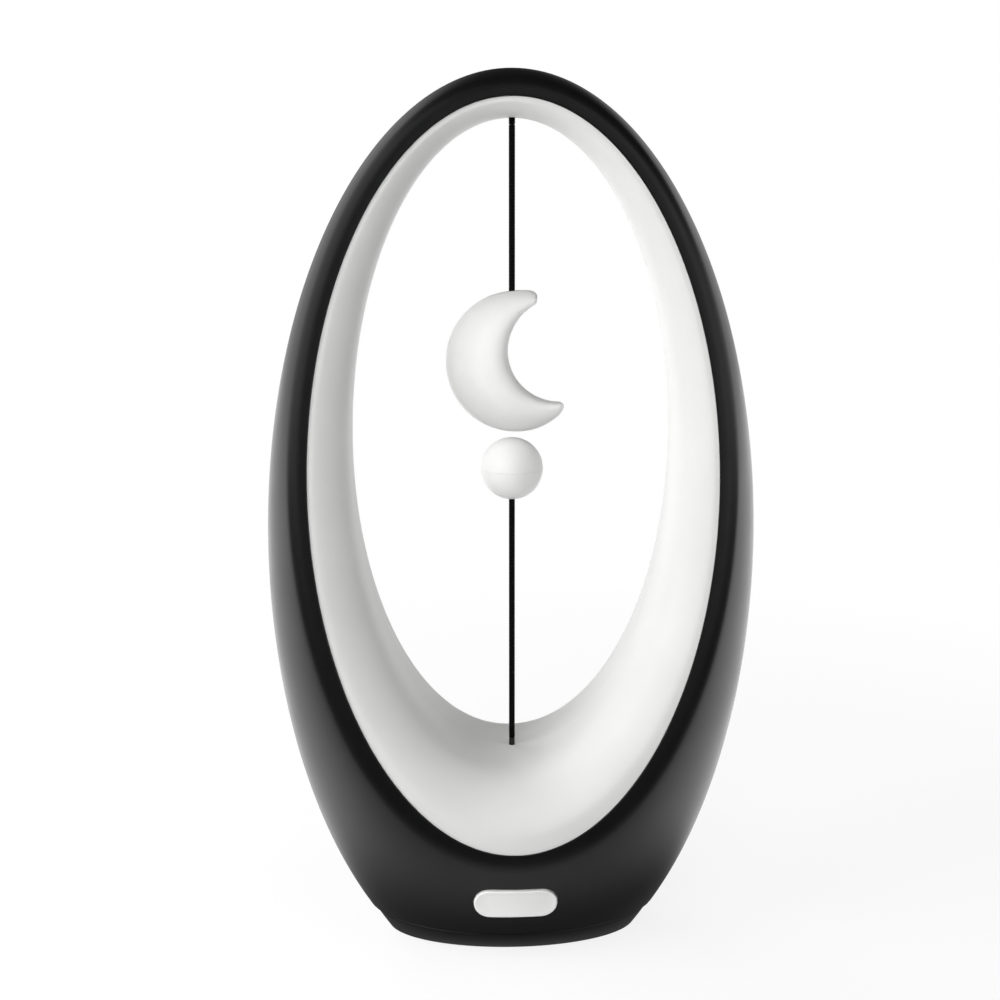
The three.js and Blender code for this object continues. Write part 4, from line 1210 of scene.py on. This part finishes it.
class LAMP_OT_stage(bpy.types.Operator):
    """Sets the pale floor and the soft studio light"""
    bl_idname = "lamp.stage"
    bl_label = "Stage"

    LAMPS = (
        ("key", (-0.75, -0.30, 0.62), 0.5, 2.3),
        ("left", (-0.95, -0.25, 0.45), 1.1, 7.2),
        ("front", (-0.22, -1.0, 0.52), 0.6, 4.8),
        ("top", (0.1, -0.35, 1.0), 0.5, 1.2),
        ("back", (-0.6, 0.7, 0.6), 0.6, 3.4),
    )
    AIM = (0, 0, 0.12)
    WORLD_LIGHT = 0.08
    FRONT_GLOSS = 0.05
    SIDE_GLOSS = 0.9
    WHITE = (1, 1, 1, 1)

    def execute(self, context):
        self.floor()
        self.world(context)
        for lamp in self.LAMPS:
            self.lamp(*lamp)
        return {"FINISHED"}

    def glow(self, finish, strength, kind="ShaderNodeEmission"):
        return finish.node(kind, values={"Color": self.WHITE, "Strength": strength})

    def blend(self, finish, factor, first, second):
        return finish.node("ShaderNodeMixShader", values={0: factor, 1: first, 2: second})

    def for_rays(self, finish, light, shown, gloss):
        """One shader for plain light, one for what the camera sees, one for what a gloss sees"""
        camera, glossy, clear = [finish.node("ShaderNodeLightPath", output=name)
                                 for name in ("Is Camera Ray", "Is Glossy Ray", "Is Transmission Ray")]
        seen = self.blend(finish, camera.larger(clear), light, shown)
        return self.blend(finish, glossy, seen, gloss)

    def floor(self):
        bpy.ops.object.select_all(action="DESELECT")
        bpy.ops.mesh.primitive_plane_add(size=6, location=(0, 0, 0))
        floor = added("floor")
        finish = Finish("floor")
        tone = bpy.context.scene.lamp_colours.floor
        place = finish.place()
        grain = finish.noise(1.2 * MM, where=place)
        across, depth, _ = finish.split(place)
        away = (across ** 2 + depth ** 2) ** 0.5
        colour = finish.mix(grain, full(tone), full(tone, 0.98))
        matt = finish.node("ShaderNodeBsdfDiffuse", values={"Color": colour})
        shadow = finish.node("ShaderNodeBsdfDiffuse", values={"Color": (0.2, 0.2, 0.2, 1)})
        near = finish.node("ShaderNodeAddShader", values={0: shadow, 1: self.glow(finish, 0.84)})
        shown = self.blend(finish, away.between(0.16, 0.42), near, self.glow(finish, 1.0))
        gloss = self.glow(finish, self.floor_gloss(across, depth))
        finish.show(self.for_rays(finish, matt, shown, gloss))
        floor.data.materials.append(finish.owner)

    def floor_gloss(self, across, depth):
        """How brightly the floor glows for glossy rays alone, a painted reflection: dark in front,
        dimmed by the foot as a painted contact shadow, bright at the sides
        """
        beside = across.size()
        ahead = (beside * 0.15 - depth).between(0.045, 0.095)
        # Painted contact shadow: the glow seen in reflections dims close to the foot
        foot = (((across - 0.006) * 0.6) ** 2 + depth ** 2) ** 0.5
        contact = 0.16 + foot.between(0.028, 0.059) * 0.84
        aside = 1 + beside.between(0.045, 0.12) * self.SIDE_GLOSS
        return contact * aside * (1 - ahead * (1 - self.FRONT_GLOSS))

    def world(self, context):
        finish = Finish("studio", bpy.data.worlds.new("studio"))
        context.scene.world = finish.owner
        place = finish.place()
        across, _, up = finish.split(place)
        sides = across.size().between(0, 0.6)
        dark_top = (up + across * 0.25).between(0.48, 0.68)
        front_right = finish.dot(place, (0.30, -0.95, 0.02)).between(0.93, 0.99)
        seen = self.FRONT_GLOSS + sides * (1 - dark_top) + front_right * 0.5
        strengths = (self.WORLD_LIGHT, 1.0, seen)
        shaders = [self.glow(finish, strength, "ShaderNodeBackground") for strength in strengths]
        finish.show(self.for_rays(finish, *shaders), "ShaderNodeOutputWorld")

    def lamp(self, name, place, size, power):
        bpy.ops.object.light_add(type="AREA", location=place)
        lamp = bpy.context.object
        lamp.name = name
        lamp.data.size = size
        lamp.data.energy = power
        lamp.visible_glossy = False
        lamp.rotation_euler = (Vector(self.AIM) - Vector(place)).to_track_quat("-Z", "Y").to_euler()


class LAMP_PT_panel(bpy.types.Panel):
    """Lists the lamp's pieces in the sidebar"""
    bl_idname = "LAMP_PT_panel"
    bl_label = "Balance lamp"
    bl_space_type = "VIEW_3D"
    bl_region_type = "UI"
    bl_category = "Lamp"

    def draw(self, context):
        for operator in OPERATORS:
            self.layout.operator(operator.bl_idname)
        for group in (context.scene.lamp_sizes, context.scene.lamp_colours):
            for name in type(group).__annotations__:
                self.layout.prop(group, name)


OPERATORS = (
    LAMP_OT_camera, LAMP_OT_finishes, LAMP_OT_strings, LAMP_OT_shells, LAMP_OT_lining,
    LAMP_OT_foot, LAMP_OT_button, LAMP_OT_ball, LAMP_OT_moon, LAMP_OT_socket, LAMP_OT_screws,
    LAMP_OT_spring, LAMP_OT_stage,
)
CLASSES = (LampSizes, LampColours, *OPERATORS, LAMP_PT_panel)


def register():
    for made in CLASSES:
        bpy.utils.register_class(made)
    bpy.types.Scene.lamp_sizes = bpy.props.PointerProperty(type=LampSizes)
    bpy.types.Scene.lamp_colours = bpy.props.PointerProperty(type=LampColours)


def unregister():
    del bpy.types.Scene.lamp_colours
    del bpy.types.Scene.lamp_sizes
    for made in reversed(CLASSES):
        bpy.utils.unregister_class(made)


def main():
    register()
    bpy.context.scene.view_settings.view_transform = "Standard"
    for operator in OPERATORS:
        group, name = operator.bl_idname.split(".")
        getattr(getattr(bpy.ops, group), name)()


if __name__ == "__main__":
    main()
